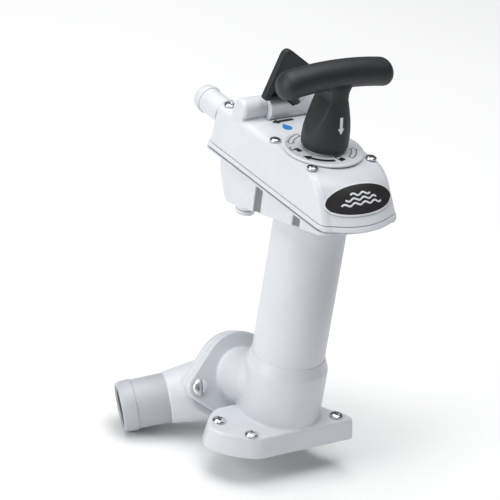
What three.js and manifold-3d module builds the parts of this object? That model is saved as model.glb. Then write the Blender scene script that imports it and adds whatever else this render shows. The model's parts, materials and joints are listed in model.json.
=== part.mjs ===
// Twist-and-lock hand pump for a marine toilet, in millimetres, +Z up.
// The origin is on the pump cylinder's axis at the underside of the foot. -Y is the nose of the
// head, +Y is its rear, and the handle's grip bar runs along X.
import * as THREE from 'three';
import { mergeVertices } from 'three/addons/utils/BufferGeometryUtils.js';
import Module from 'manifold-3d';

const wasm = await Module();
wasm.setup();

// ---------------------------------------------------------------- driving dimensions
const GAP = 0.3; // clearance between touching pieces
const WALL = 3;

const TUBE_R = 28.7; // outside of the pump cylinder
const BORE_R = 25.4;
const COLLAR_R = 32.6; // socket of the base casting
const COLLAR_TOP = 58;
const SHOULDER_TOP = 67;
const SHOULDER_R = 29.9;
const CHAMBER_R = 23; // valve chamber under the piston
const TUBE_BOTTOM = 38;
const TUBE_TOP = 197;
const FOOT_TOP = 17;
const INLET_R = 8; // inlet in the chamber's floor, behind the axis
const INLET_Y = 10;
const FLOOR = 6;
const FLAP_Z = FLOOR + GAP;
const FLAP_H = 2.4;
const FLAP_HINGE_Y = -3.2;
const GASKET_OUT = 31;
const GASKET_IN = 27;
const GASKET_H = 2.1;

// centre of the discharge joint on its pump-side face
const FLANGE_C = new THREE.Vector3(-12.8, 38, 28.8);
const FLANGE_TILT = 25.5; // degrees that the discharge joint looks down
const FLANGE_ROLL = 3.5; // degrees that its bolt line drops to the left
const FLANGE_R = 35.2;
const FLANGE_PLATE = 7;
const FLANGE_BOLT = 39.4; // bolt distance from the centre
const FLANGE_EAR_R = 9.6;
const PORT_R = 16.5; // discharge bore
const PIPE_MOUTH = new THREE.Vector3(-94.9, 79, -5.9);
const PIPE_YAW = 22; // degrees behind -X
const PIPE_DROP = 14.6; // degrees below level
const PIPE_R = 19.9;
const PIPE_LENGTH = 72;
const INTAKE_X = -20; // small hosetail behind the head
const INTAKE_Z = 231;
const INTAKE_R = 10.6;
const INTAKE_END = 129;
const INTAKE_BORE = 7.2;

const RIM_TOP = 211; // upper edge of the head's parting rim
const SPLIT = 207; // mid height of the head gasket
const RIM_BOTTOM = 205;
const HEAD_TOP = 243;
const HEAD_HALF = 35.4; // half width of the cover where it meets the rim
const HEAD_REAR = 98;
const RIM_OUT = 1.5; // how far the rim stands proud of the walls
const NOSE_BEND_R = 30; // large radius between the sloping nose and the flat top
const NOSE_BEND_Y = -21.8;
const NOSE_SLOPE = 0.649; // run over rise below the bend
const TOP_EDGE_R = 5;
const WEDGE_FRONT = [-56, 202.6]; // y and z of the housing's sloping underside
const WEDGE_REAR = [64, 172.6];
const CHANNELS = [-23.5, 26]; // screw channels down the housing's sides
const CHANNEL_W = 8;
const PLUG = [-26.3, 48.6]; // vent plug under the rear of the head
const PLUG_TOP = 174.1; // upper face of its cap
const INLET_HINGE = [70, 217.4]; // y and z of the intake flap's hinge

const BARREL_R = 10.4; // cross barrel that carries the flush lever
const BARREL_Y = 65;
const BARREL_Z = 249.4;
const BARREL_HALF = 32.6;
const BARREL_SEAM = -11; // its right part is a cap, its left part belongs to the cover
const RIDGE_R = 8.6; // the slimmer left part
const RIDGE_Y = 68;
const RIDGE_Z = 249.6;
const LEVER_X = 12;
const LEVER_LEAN = 17.5; // degrees that the lever leans left at rest
const LEVER_FRONT = 55.2;
const LEVER_BACK = 60.8;
const LEVER_TANG = 57.4; // front of the thinner hub inside the barrel
const LEVER_HUB_R = 4.5;

const DIAL_R = 31.45;
const DIAL_TOP = 245.4;
const DIAL_NECK_R = 15;
const ROD_R = 5;
const ROD_BOTTOM = 37.5;
const ROD_TOP = 296;
const PISTON_BOTTOM = 43;
const PISTON_HEIGHT = 18;
const HANDLE_PIN_Z = 284;
const SKIRT_R = 18.3;
const SKIRT_BOTTOM = 246.2;
const GRIP_HALF = 51.8;
const GRIP_R = 11.2;
const GRIP_Z = 306;
const GRIP_DROOP = 4.8; // how far the grip's ends hang below its middle

// ---------------------------------------------------------------- finishes
const FINISH = {
  body: [0xd3d7dc, 0.32, 0],
  tube: [0xd6d9de, 0.3, 0],
  black: [0x17191c, 0.42, 0],
  rubber: [0x1d1d1f, 0.85, 0],
  steel: [0xc9ccd0, 0.22, 1],
  brass: [0xb58c3e, 0.35, 1],
  nylon: [0xe9e7df, 0.5, 0],
  badge: [0x101215, 0.3, 0],
};

const pump = new THREE.Group();

function add(name, solid, finish) {
  const [color, roughness, metalness] = FINISH[finish];
  const material = new THREE.MeshStandardMaterial({ color, roughness, metalness });
  const mesh = new THREE.Mesh(toGeometry(solid), material);
  mesh.name = name;
  pump.add(mesh);
}

// ---------------------------------------------------------------- solids and booleans
function toSolid(source) {
  const geometry = source.clone();
  geometry.deleteAttribute('normal');
  geometry.deleteAttribute('uv');
  const merged = mergeVertices(geometry, 1e-4);
  const index = merged.index.array;
  const kept = [];
  for (let i = 0; i < index.length; i += 3) {
    const [a, b, c] = [index[i], index[i + 1], index[i + 2]];
    if (a !== b && b !== c && c !== a) kept.push(a, b, c);
  }
  const vertProperties = new Float32Array(merged.attributes.position.array);
  const build = (tris) =>
    new wasm.Manifold(new wasm.Mesh({ numProp: 3, vertProperties, triVerts: new Uint32Array(tris) }));
  const solid = build(kept);
  if (solid.volume() > 0) return solid;
  const flipped = [];
  for (let i = 0; i < kept.length; i += 3) flipped.push(kept[i], kept[i + 2], kept[i + 1]);
  return build(flipped);
}

function toGeometry(solid) {
  const mesh = solid.getMesh();
  const geometry = new THREE.BufferGeometry();
  geometry.setAttribute('position', new THREE.BufferAttribute(new Float32Array(mesh.vertProperties), 3));
  geometry.setIndex(new THREE.BufferAttribute(new Uint32Array(mesh.triVerts), 1));
  geometry.computeVertexNormals();
  return geometry;
}

const join = (first, ...others) => others.reduce((all, one) => all.add(one), first);
const cut = (first, ...others) => others.reduce((all, one) => all.subtract(one), first);
const radians = THREE.MathUtils.degToRad;

// A round bar along Z from z0 to z1, with an optional second radius at its top.
function bar(r0, z0, z1, { x = 0, y = 0, r1 = r0, sides = 32 } = {}) {
  const geometry = new THREE.CylinderGeometry(r1, r0, z1 - z0, sides);
  geometry.rotateX(Math.PI / 2);
  geometry.translate(x, y, (z0 + z1) / 2);
  return toSolid(geometry);
}

function ring(outer, inner, z0, z1, options = {}) {
  const hole = bar(inner, z0 - 1, z1 + 1, options);
  return bar(outer, z0, z1, options).subtract(hole);
}

function block(x0, x1, y0, y1, z0, z1) {
  const geometry = new THREE.BoxGeometry(x1 - x0, y1 - y0, z1 - z0);
  geometry.translate((x0 + x1) / 2, (y0 + y1) / 2, (z0 + z1) / 2);
  return toSolid(geometry);
}

function ball(r, x, y, z, sides = 32) {
  const geometry = new THREE.SphereGeometry(r, sides, sides / 2);
  geometry.translate(x, y, z);
  return toSolid(geometry);
}

// A turned piece about Z from [radius, height] pairs that start and end on the axis.
function turned(pairs, sides = 40) {
  const geometry = new THREE.LatheGeometry(pairs.map(([r, z]) => new THREE.Vector2(r, z)), sides);
  geometry.rotateX(Math.PI / 2);
  return toSolid(geometry);
}

function extruded(points, z0, z1) {
  const shape = new THREE.Shape(points);
  const geometry = new THREE.ExtrudeGeometry(shape, { depth: z1 - z0, bevelEnabled: false });
  geometry.translate(0, 0, z0);
  return toSolid(geometry);
}

// A skin over rings of Vector3 that all have the same number of points, closed by flat ends.
function loft(rings) {
  const count = rings[0].length;
  const position = rings.flatMap((points) => points.flatMap((p) => [p.x, p.y, p.z]));
  const index = [];
  for (let k = 0; k < rings.length - 1; k++) {
    for (let i = 0; i < count; i++) {
      const a = k * count + i;
      const b = k * count + ((i + 1) % count);
      index.push(a, b, b + count, a, b + count, a + count);
    }
  }
  const ends = [[rings[0], 0], [rings.at(-1), (rings.length - 1) * count]];
  for (const [points, offset] of ends) {
    const flat = points.map((p) => new THREE.Vector2(p.x, p.y));
    for (const [a, b, c] of THREE.ShapeUtils.triangulateShape(flat, [])) {
      if (offset) index.push(offset + a, offset + b, offset + c);
      else index.push(offset + a, offset + c, offset + b);
    }
  }
  const geometry = new THREE.BufferGeometry();
  geometry.setAttribute('position', new THREE.Float32BufferAttribute(position, 3));
  geometry.setIndex(index);
  return toSolid(geometry);
}

// Moves each point of a closed counter-clockwise outline inwards by a distance.
function inset(points, distance) {
  const count = points.length;
  return points.map((p, i) => {
    const before = points[(i + count - 1) % count];
    const after = points[(i + 1) % count];
    const along = new THREE.Vector2().subVectors(after, before).normalize();
    return new THREE.Vector2(p.x - along.y * distance, p.y + along.x * distance);
  });
}

const lift = (points, z) => points.map((p) => new THREE.Vector3(p.x, p.y, z));

function moved(solid, matrix) {
  return toSolid(toGeometry(solid).applyMatrix4(matrix));
}

// The matrix that takes +Z to a direction and the origin to a point.
function aim(point, direction, roll = 0) {
  const turn = new THREE.Quaternion().setFromUnitVectors(new THREE.Vector3(0, 0, 1), direction);
  const spin = new THREE.Quaternion().setFromAxisAngle(new THREE.Vector3(0, 0, 1), roll);
  return new THREE.Matrix4().compose(point, turn.multiply(spin), new THREE.Vector3(1, 1, 1));
}

// ---------------------------------------------------------------- screws
// A pan head and shank; the head sits on z = 0. The drive is a cross or a single slot.
function screw({ head = 4.6, height = 2.4, shank = 2, length = 12, slot = false }) {
  const dome = [
    [0, -length], [shank, -length], [shank, 0], [head, 0],
    [head, height * 0.45], [head * 0.7, height], [0, height],
  ];
  const reach = head * (slot ? 1.2 : 0.62);
  const drive = block(-reach, reach, -0.55, 0.55, height * 0.45, height + 1);
  const cross = block(-0.55, 0.55, -reach, reach, height * 0.45, height + 1);
  const body = turned(dome, 14).subtract(drive);
  return slot ? body : body.subtract(cross);
}

// ---------------------------------------------------------------- base
const FOOT_SCREWS = [[-56.7, 0.5], [-44.5, -26.6], [37.2, -26], [37.2, 26]];
const BASE_SCREW = { head: 5, height: 2.6, shank: 2.4, length: 16 };

// The foot: a long straight front edge, a broad left end and two ears on the right.
function footOutline() {
  const path = new THREE.Path();
  path.moveTo(-38, -37.2);
  path.lineTo(45, -37.2);
  path.quadraticCurveTo(50.6, -37, 50.6, -31.5);
  path.bezierCurveTo(50.6, -19, 37, -16, 37, 0);
  path.bezierCurveTo(37, 16, 50.6, 19, 50.6, 31.5);
  path.quadraticCurveTo(50.6, 37, 45, 37);
  path.lineTo(33, 37);
  path.bezierCurveTo(24, 37, 26, 21, 12, 21);
  path.lineTo(-44, 21);
  path.bezierCurveTo(-54, 21, -68.5, 6, -70.8, -4);
  path.bezierCurveTo(-69.5, -20, -51, -36, -38, -37.2);
  const points = path.getPoints(5);
  points.pop();
  return points;
}

const flangeNormal = new THREE.Vector3(0, Math.cos(radians(FLANGE_TILT)), -Math.sin(radians(FLANGE_TILT)));

// The frame of the discharge joint: local X along its bolt line, +Z away from the pump.
const flangeFrame = (() => {
  const level = new THREE.Vector3(1, 0, 0).applyAxisAngle(flangeNormal, -radians(FLANGE_ROLL));
  const up = new THREE.Vector3().crossVectors(flangeNormal, level);
  return new THREE.Matrix4().makeBasis(level, up, flangeNormal).setPosition(FLANGE_C);
})();

const onFlange = (solid) => moved(solid, flangeFrame);

// A round flange with two ears on its local X axis.
function flangePlate(z0, z1) {
  const path = new THREE.Path();
  const reach = Math.acos((FLANGE_R - FLANGE_EAR_R) / FLANGE_BOLT);
  path.absarc(0, 0, FLANGE_R, reach, Math.PI - reach, false);
  path.absarc(-FLANGE_BOLT, 0, FLANGE_EAR_R, Math.PI - reach, Math.PI + reach, false);
  path.absarc(0, 0, FLANGE_R, Math.PI + reach, 2 * Math.PI - reach, false);
  path.absarc(FLANGE_BOLT, 0, FLANGE_EAR_R, -reach, reach, false);
  const points = path.getPoints(7);
  return loft([
    lift(inset(points, 0.8), z0), lift(points, z0 + 0.8),
    lift(points, z1 - 0.8), lift(inset(points, 0.8), z1),
  ]);
}

function boltHoles(r, z0, z1) {
  return join(bar(r, z0, z1, { x: FLANGE_BOLT, sides: 20 }), bar(r, z0, z1, { x: -FLANGE_BOLT, sides: 20 }));
}

const BEYOND = 90; // larger than anything that a trimming block has to clear

function pumpBase() {
  const outline = footOutline();
  const foot = loft([
    lift(inset(outline, 0.7), 0), lift(outline, 0.8), lift(inset(outline, 2.1), FOOT_TOP - 1.6),
    lift(inset(outline, 2.5), FOOT_TOP - 0.5), lift(inset(outline, 3.2), FOOT_TOP),
  ]);
  const collar = turned([
    [0, 0], [COLLAR_R, 0], [COLLAR_R, COLLAR_TOP], [COLLAR_R - 0.4, COLLAR_TOP + 1.4],
    [SHOULDER_R + 0.5, SHOULDER_TOP - 1], [SHOULDER_R, SHOULDER_TOP], [0, SHOULDER_TOP],
  ], 48);
  const neck = turned([
    [0, -46], [12, -44], [19, -36], [22, -27], [22, -1.6], [23.6, 0.4], [0, 0.4],
  ], 28);
  const outside = join(foot, collar, onFlange(join(neck, flangePlate(0, FLANGE_PLATE))));
  const beyondJoint = onFlange(block(-BEYOND, BEYOND, -BEYOND, BEYOND, FLANGE_PLATE, BEYOND));
  const underside = block(-BEYOND, BEYOND, -BEYOND, 24, -BEYOND, 0);
  const chamber = bar(CHAMBER_R, FLOOR, TUBE_BOTTOM + 1, { sides: 48 });
  const inlet = bar(INLET_R, -1, 7, { y: INLET_Y, sides: 28 });
  const socket = bar(TUBE_R + GAP, TUBE_BOTTOM - GAP, SHOULDER_TOP + 1, { sides: 48 });
  const seat = bar(21, FLANGE_PLATE - 3, FLANGE_PLATE + 1, { sides: 32 });
  const duct = bar(PORT_R, -40, FLANGE_PLATE + 1, { sides: 28 });
  const port = onFlange(join(duct, seat, boltHoles(3.2, -1, FLANGE_PLATE + 1)));
  const gasketPocket = ring(GASKET_OUT + GAP, GASKET_IN - GAP, -1, GASKET_H + GAP, { sides: 48 });
  const holes = FOOT_SCREWS.map(([x, y]) => bar(2.4 + GAP, -1, FOOT_TOP + 1, { x, y, sides: 16 }));
  return cut(outside, beyondJoint, underside, chamber, inlet, socket, port, gasketPocket, ...holes);
}

// The bottom gasket lies in a round groove under the foot.
function baseGasket() {
  return ring(GASKET_OUT, GASKET_IN, 0, GASKET_H, { sides: 48 });
}

// The bottom flap valve lies on the chamber floor over the inlet and lifts about its front edge.
function baseFlapper() {
  const disc = bar(INLET_R + 2.4, FLAP_Z, FLAP_Z + FLAP_H, { y: INLET_Y, sides: 32 });
  const tab = block(-6, 6, FLAP_HINGE_Y - 0.4, INLET_Y, FLAP_Z, FLAP_Z + FLAP_H);
  return disc.add(tab);
}

function flapperWeight() {
  const z = FLAP_Z + FLAP_H + GAP;
  return bar(7.4, z, z + 4.4, { r1: 6.8, y: INLET_Y, sides: 28 });
}

// ---------------------------------------------------------------- discharge
const pipeAxis = new THREE.Vector3(
  -Math.cos(radians(PIPE_YAW)) * Math.cos(radians(PIPE_DROP)),
  Math.sin(radians(PIPE_YAW)) * Math.cos(radians(PIPE_DROP)),
  -Math.sin(radians(PIPE_DROP)),
);
const pipeRoot = PIPE_MOUTH.clone().addScaledVector(pipeAxis, -PIPE_LENGTH);

function dischargeElbow() {
  const onPipe = (solid) => moved(solid, aim(pipeRoot, pipeAxis));
  const stem = onPipe(turned([
    [0, -12], [16, -12], [24, -2], [24.4, 8], [20.6, 33.4], [PIPE_R, 34.2],
    [PIPE_R, PIPE_LENGTH - 11.6], [PIPE_R + 0.6, PIPE_LENGTH - 11], [PIPE_R + 0.3, PIPE_LENGTH - 4],
    [PIPE_R - 1, PIPE_LENGTH], [0, PIPE_LENGTH],
  ], 36));
  const inner = ball(24, pipeRoot.x, pipeRoot.y, pipeRoot.z, 22);
  const hub = onFlange(turned([
    [0, FLANGE_PLATE + 1], [26, FLANGE_PLATE + 1], [26, 16], [21, 26], [10, 34], [0, 36],
  ], 32));
  const plate = onFlange(flangePlate(FLANGE_PLATE + GAP, 2 * FLANGE_PLATE + GAP));
  const front = onFlange(block(-BEYOND, BEYOND, -BEYOND, BEYOND, -BEYOND, FLANGE_PLATE + GAP));
  const nutFlats = onFlange(join(...[-1, 1].map((side) =>
    bar(7.4, 2 * FLANGE_PLATE + GAP, 22, { x: side * FLANGE_BOLT, sides: 14 }))));
  const flare = bar(PORT_R - 0.1, PIPE_LENGTH - 3, PIPE_LENGTH + 0.2, { r1: PORT_R + 0.7, sides: 32 });
  const bore = onPipe(join(bar(PORT_R, 0, PIPE_LENGTH + 1, { sides: 32 }), flare));
  const bend = ball(PORT_R, pipeRoot.x, pipeRoot.y, pipeRoot.z, 18);
  const entry = onFlange(bar(PORT_R, FLANGE_PLATE - 1, 18, { sides: 32 }));
  const holes = onFlange(boltHoles(3.2, FLANGE_PLATE, 2 * FLANGE_PLATE + 1));
  return cut(join(stem, inner, hub, plate), front, nutFlats, bore, bend, entry, holes);
}

// The rubber joker valve: a disc nipped in the joint, with a slit nozzle that points downstream.
function jokerValve() {
  const z0 = FLANGE_PLATE - 3 + GAP;
  const outer = turned([
    [0, z0], [20.6, z0], [20.6, FLANGE_PLATE - GAP], [15.6, FLANGE_PLATE],
    [14.6, FLANGE_PLATE + 4], [6, FLANGE_PLATE + 11], [0, FLANGE_PLATE + 11],
  ], 36);
  const inner = turned([
    [0, z0 - 1], [12.8, z0 - 1], [12.4, FLANGE_PLATE + 2], [4.4, FLANGE_PLATE + 9], [0, FLANGE_PLATE + 9],
  ], 36);
  const slit = block(-0.5, 0.5, -3.6, 3.6, 0, 30);
  return onFlange(cut(outer, inner, slit));
}

function dischargeScrew(side) {
  const body = screw({ head: 7, height: 3.6, shank: 2.8, length: 2 * FLANGE_PLATE + 6, slot: true });
  const turn = new THREE.Euler(Math.PI, 0, radians(side * 12 + 84));
  const place = new THREE.Matrix4().makeRotationFromEuler(turn);
  place.setPosition(side * FLANGE_BOLT, 0, -GAP);
  return onFlange(moved(body, place));
}

function dischargeNut(side) {
  const z0 = 2 * FLANGE_PLATE + 2 * GAP;
  const flats = { x: side * FLANGE_BOLT, sides: 6 };
  const hole = bar(2.8 + GAP, z0 - 1, z0 + 6, { x: side * FLANGE_BOLT, sides: 16 });
  return onFlange(bar(6, z0, z0 + 4.4, flats).subtract(hole));
}

// ---------------------------------------------------------------- cylinder and piston
function pumpCylinder() {
  return turned([
    [BORE_R, TUBE_BOTTOM], [TUBE_R, TUBE_BOTTOM], [TUBE_R, TUBE_TOP - 1],
    [TUBE_R - 1, TUBE_TOP], [BORE_R, TUBE_TOP], [BORE_R, TUBE_BOTTOM],
  ], 48);
}

function piston() {
  const top = PISTON_BOTTOM + PISTON_HEIGHT;
  const mid = PISTON_BOTTOM + PISTON_HEIGHT / 2;
  return turned([
    [ROD_R + GAP, PISTON_BOTTOM], [24.6, PISTON_BOTTOM], [24.9, PISTON_BOTTOM + 1],
    [24.9, mid - 3], [21.4, mid - 3], [21.4, mid + 3], [24.9, mid + 3],
    [24.9, top - 1], [24.6, top], [ROD_R + GAP, top], [ROD_R + GAP, PISTON_BOTTOM],
  ], 36);
}

function roundRing(centreR, sectionR, z, sides = 40) {
  const points = [];
  for (let i = 0; i <= 8; i++) {
    const a = (i / 8) * 2 * Math.PI;
    points.push([centreR + sectionR * Math.cos(a), z + sectionR * Math.sin(a)]);
  }
  return turned(points, sides);
}

// A collar on the rod above the piston and a nut below it carry the piston both ways.
function pistonRod() {
  const top = PISTON_BOTTOM + PISTON_HEIGHT;
  const rod = turned([
    [0, ROD_BOTTOM], [ROD_R - 1.2, ROD_BOTTOM], [ROD_R - 1, PISTON_BOTTOM - 0.6],
    [ROD_R, PISTON_BOTTOM - 0.5],
    [ROD_R, top + GAP], [8, top + GAP], [8, top + 2.4], [ROD_R, top + 2.4],
    [ROD_R, ROD_TOP - 1], [ROD_R - 1, ROD_TOP], [0, ROD_TOP],
  ], 28);
  return rod.subtract(alongX(bar(1.8, -10, 10, { sides: 14 }), 0, HANDLE_PIN_Z));
}

function pistonNut() {
  const flats = bar(7.6, PISTON_BOTTOM - 5, PISTON_BOTTOM - 0.9, { sides: 6 });
  return flats.subtract(bar(ROD_R - 0.7, PISTON_BOTTOM - 6, PISTON_BOTTOM, { sides: 20 }));
}

// ---------------------------------------------------------------- head
const HEAD_STEPS = 4; // points in each corner arc

// A head outline: straight sides, a bowed nose and rounded corners, counter-clockwise.
function headOutline(half, front, bow, rear, frontR, rearR) {
  const points = [];
  const arc = (cx, cy, r, from) => {
    for (let i = 0; i <= HEAD_STEPS; i++) {
      const a = from + (i / HEAD_STEPS) * (Math.PI / 2);
      points.push(new THREE.Vector2(cx + r * Math.cos(a), cy + r * Math.sin(a)));
    }
  };
  arc(half - rearR, rear - rearR, rearR, 0);
  arc(-half + rearR, rear - rearR, rearR, Math.PI / 2);
  arc(-half + frontR, front + frontR, frontR, Math.PI);
  for (let i = 1; i <= 7; i++) {
    const t = i / 8;
    const x = (-half + frontR) * (1 - t) + (half - frontR) * t;
    points.push(new THREE.Vector2(x, front - bow * 4 * t * (1 - t)));
  }
  arc(half - frontR, front + frontR, frontR, 1.5 * Math.PI);
  return points;
}

function noseFront(z) {
  const bendZ = HEAD_TOP - NOSE_BEND_R;
  const tangent = Math.atan(NOSE_SLOPE);
  const startZ = bendZ + NOSE_BEND_R * Math.sin(tangent);
  const startY = NOSE_BEND_Y - NOSE_BEND_R * Math.cos(tangent);
  if (z < startZ) return startY - (startZ - z) * NOSE_SLOPE;
  return NOSE_BEND_Y - Math.sqrt(Math.max(0, NOSE_BEND_R ** 2 - (z - bendZ) ** 2));
}

// One horizontal slice of the cover, shrunk by a wall thickness for its inside.
function coverSlice(z, wall) {
  const top = HEAD_TOP - wall;
  const rise = (z - RIM_TOP) / (HEAD_TOP - RIM_TOP);
  const edge = Math.max(0, z - (top - TOP_EDGE_R));
  const shrink = TOP_EDGE_R - Math.sqrt(Math.max(0, TOP_EDGE_R ** 2 - edge ** 2));
  const half = HEAD_HALF - 1.8 * rise - shrink - wall;
  const front = noseFront(Math.min(z + wall * 0.6, HEAD_TOP - 0.05)) + wall;
  const bow = 8 * Math.sqrt(Math.max(0, 1 - rise));
  const rear = HEAD_REAR - 1.2 * rise - shrink * 0.6 - wall;
  return lift(headOutline(half, front, bow, rear, 7, 7), z);
}

function coverBody(wall, bottom) {
  const top = HEAD_TOP - wall;
  const wanted = [bottom, RIM_TOP, 220, 228, 233, 237, 239.6, 241.4, 242.5, 243];
  const heights = wanted.map((z) => Math.min(z, top));
  const levels = heights.filter((z, i) => i === 0 || z > heights[i - 1] + 0.2);
  return loft(levels.map((z) => coverSlice(z, wall)));
}

function rimOutline(proud) {
  return headOutline(HEAD_HALF + proud, -57.6 - proud, 7, HEAD_REAR + proud, 8, 8);
}

// A rounded bead of the parting rim between two heights.
function rimBead(z0, z1) {
  const mid = (z0 + z1) / 2;
  return loft([
    lift(rimOutline(RIM_OUT - 0.8), z0), lift(rimOutline(RIM_OUT), mid - 0.3),
    lift(rimOutline(RIM_OUT), mid + 0.3), lift(rimOutline(RIM_OUT - 0.8), z1),
  ]);
}

const COVER_SCREWS = [
  [-27.3, 24.5], [-27.3, -24.5], [27.3, -24.5], [27.3, 24.5], [-26.5, 87.5], [26.5, 87.5],
];
const HEAD_SCREW = { head: 4.4, height: 2.3, shank: 2, length: 30 };

function headCover() {
  const hollow = cut(coverBody(0, SPLIT + 0.6), coverBody(WALL, SPLIT - 1));
  const inside = extruded(inset(rimOutline(0), 4.6), SPLIT - 1, RIM_TOP + 1);
  const bead = cut(rimBead(SPLIT + 0.6, RIM_TOP), inside);
  const posts = COVER_SCREWS.map(([x, y]) => bar(5, SPLIT + 0.6, HEAD_TOP - 2, { x, y, sides: 10 }));
  const keep = coverBody(0.4, SPLIT + 0.6);
  const saddle = join(
    alongX(bar(RIDGE_R, -BARREL_HALF, BARREL_SEAM - GAP, { sides: 36 }), RIDGE_Y, RIDGE_Z),
    block(-BARREL_HALF, BARREL_SEAM - GAP, RIDGE_Y - 6.5, RIDGE_Y + 6.5, HEAD_TOP - 8, RIDGE_Z),
    block(-BARREL_HALF + 6, BARREL_HALF - 6, BARREL_Y - 6, BARREL_Y + 11, HEAD_TOP - 6, HEAD_TOP + 0.2),
  );
  const bed = alongX(bar(BARREL_R + GAP, BARREL_SEAM - GAP, 60, { sides: 36 }), BARREL_Y, BARREL_Z);
  const neck = bar(DIAL_NECK_R + GAP, HEAD_TOP - 10, HEAD_TOP + 2, { sides: 28 });
  const shanks = COVER_SCREWS.map(([x, y]) => bar(2 + GAP, SPLIT - 2, HEAD_TOP + 2, { x, y, sides: 10 }));
  const intake = alongY(bar(INTAKE_BORE, 80, 110, { sides: 32 }), INTAKE_X, INTAKE_Z);
  const spigot = alongY(bar(8.6 + GAP, 90, 110, { sides: 32 }), INTAKE_X, INTAKE_Z);
  const solid = join(hollow, bead, ...posts.map((post) => post.intersect(keep)), saddle);
  return cut(solid, bed, neck, intake, spigot, ...shanks);
}

// Lays a piece made along Z on the X axis, or on the Y axis, through a given point.
function alongX(solid, y, z) {
  return moved(solid, new THREE.Matrix4().makeRotationY(Math.PI / 2).setPosition(0, y, z));
}

function alongY(solid, x, z) {
  return moved(solid, new THREE.Matrix4().makeRotationX(-Math.PI / 2).setPosition(x, 0, z));
}

// The lower half of the head: a wedge that deepens towards the rear, with screw channels in its sides.
function headHousing() {
  const side = [
    new THREE.Vector2(...WEDGE_FRONT), new THREE.Vector2(...WEDGE_REAR), new THREE.Vector2(68, 174.5),
    new THREE.Vector2(83, 203.6), new THREE.Vector2(83, 206), new THREE.Vector2(-56, 206),
  ];
  const turnUp = new THREE.Matrix4().makeBasis(
    new THREE.Vector3(0, 1, 0), new THREE.Vector3(0, 0, 1), new THREE.Vector3(1, 0, 0),
  );
  const slab = moved(extruded(side, -40, 40), turnUp);
  const plan = loft([[165, 1.6], [206, 0]].map(([z, draft]) =>
    lift(headOutline(34.2 - draft, -56.5, 6, 84, 6, 8), z)));
  const wedge = slab.intersect(plan);
  const bead = rimBead(RIM_BOTTOM, SPLIT - 0.6);
  const pocket = loft([[178, 10], [207, 7]].map(([z, wall]) =>
    lift(headOutline(34 - wall, 36, 0, 78 - wall, 4, 4), z)));
  const socket = bar(TUBE_R + GAP, 150, TUBE_TOP + GAP, { sides: 48 });
  const throat = bar(22, 150, 210, { sides: 32 });
  const channels = CHANNELS.flatMap((y) => [[-40, -27.5], [27.5, 40]].map(([x0, x1]) =>
    block(x0, x1, y - CHANNEL_W / 2, y + CHANNEL_W / 2, 150, RIM_BOTTOM - 0.6)));
  const screws = COVER_SCREWS.map(([x, y]) => bar(2 + GAP, 180, 210, { x, y, sides: 10 }));
  const boss = bar(7.3, PLUG_TOP + GAP, 184, { x: PLUG[0], y: PLUG[1], sides: 28 });
  const plug = bar(6 + GAP, 150, 186, { x: PLUG[0], y: PLUG[1], sides: 24 });
  return cut(join(wedge, bead, boss), pocket, socket, throat, plug, ...channels, ...screws);
}

function headGasket() {
  const plate = extruded(rimOutline(RIM_OUT - 1.4), SPLIT - 0.3, SPLIT + 0.3);
  const throat = bar(22, SPLIT - 2, SPLIT + 2, { sides: 32 });
  const opening = extruded(headOutline(25, 38, 0, 70, 4, 4), SPLIT - 2, SPLIT + 2);
  const holes = COVER_SCREWS.map(([x, y]) => bar(2 + GAP, SPLIT - 2, SPLIT + 2, { x, y, sides: 10 }));
  return cut(plate, throat, opening, ...holes);
}

// The vent plug under the rear of the head.
function ventPlug() {
  const [x, y] = PLUG;
  const cap = bar(6.6, PLUG_TOP - 3.9, PLUG_TOP, { r1: 7.8, x, y, sides: 32 });
  const body = bar(6, PLUG_TOP - 0.1, 184, { x, y, sides: 28 });
  const slot = block(x - 5, x + 5, y - 0.8, y + 0.8, PLUG_TOP - 5, PLUG_TOP - 2.6);
  return cut(join(cap, body), slot);
}

// The flap that closes the intake side inside the head.
function inletFlap() {
  const [y, z] = INLET_HINGE;
  const flap = block(-9, 9, y - 20, y + 1.5, z - 1.2, z + 1.2);
  const pad = bar(7.4, z - 3, z, { y: y - 11, sides: 28 });
  return flap.add(pad);
}

function inletSeat() {
  const z1 = INLET_HINGE[1] - 3 - GAP;
  const y = INLET_HINGE[0] - 11;
  const plate = block(-20, 20, y - 14, y + 16, z1 - 3, z1);
  const feet = [-1, 1].map((side) => block(side * 20 - 2, side * 20 + 2, y - 14, y + 16, SPLIT + 0.6, z1));
  return cut(join(plate, ...feet), bar(5.6, z1 - 6, z1 + 1, { y, sides: 28 }));
}

function intakeHosetail() {
  const r = INTAKE_R;
  const end = INTAKE_END;
  const outside = turned([
    [0, 91], [8.6, 91], [8.6, HEAD_REAR - 0.2], [r, HEAD_REAR - 0.2], [r, end - 6.6], [r + 0.6, end - 5.6],
    [r + 0.5, end - 3], [r - 0.4, end], [0, end],
  ], 36);
  return alongY(outside.subtract(bar(INTAKE_BORE, 80, 150, { sides: 32 })), INTAKE_X, INTAKE_Z);
}

// ---------------------------------------------------------------- dial and rod seal
function sealHousing() {
  const disc = turned([
    [0, HEAD_TOP + GAP], [DIAL_R, HEAD_TOP + GAP], [DIAL_R, HEAD_TOP + 1.2],
    [DIAL_R - 1.4, DIAL_TOP - 0.2], [DIAL_R - 2.2, DIAL_TOP], [DIAL_R - 3, DIAL_TOP],
    [DIAL_R - 3.6, DIAL_TOP - 0.6], [14, DIAL_TOP - 0.6], [13.4, DIAL_TOP + 3.6],
    [12.4, DIAL_TOP + 4.2], [0, DIAL_TOP + 4.2],
  ], 44);
  const neck = bar(DIAL_NECK_R, 224, HEAD_TOP + 1, { sides: 28 });
  const bore = bar(ROD_R + GAP, 200, 260, { sides: 28 });
  const sealPocket = bar(9.4, 200, 236, { sides: 32 });
  return cut(join(disc, neck), bore, sealPocket);
}

function rodSeal() {
  return ring(9.1, ROD_R + 0.15, 230, 235.6, { sides: 32 });
}

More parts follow.
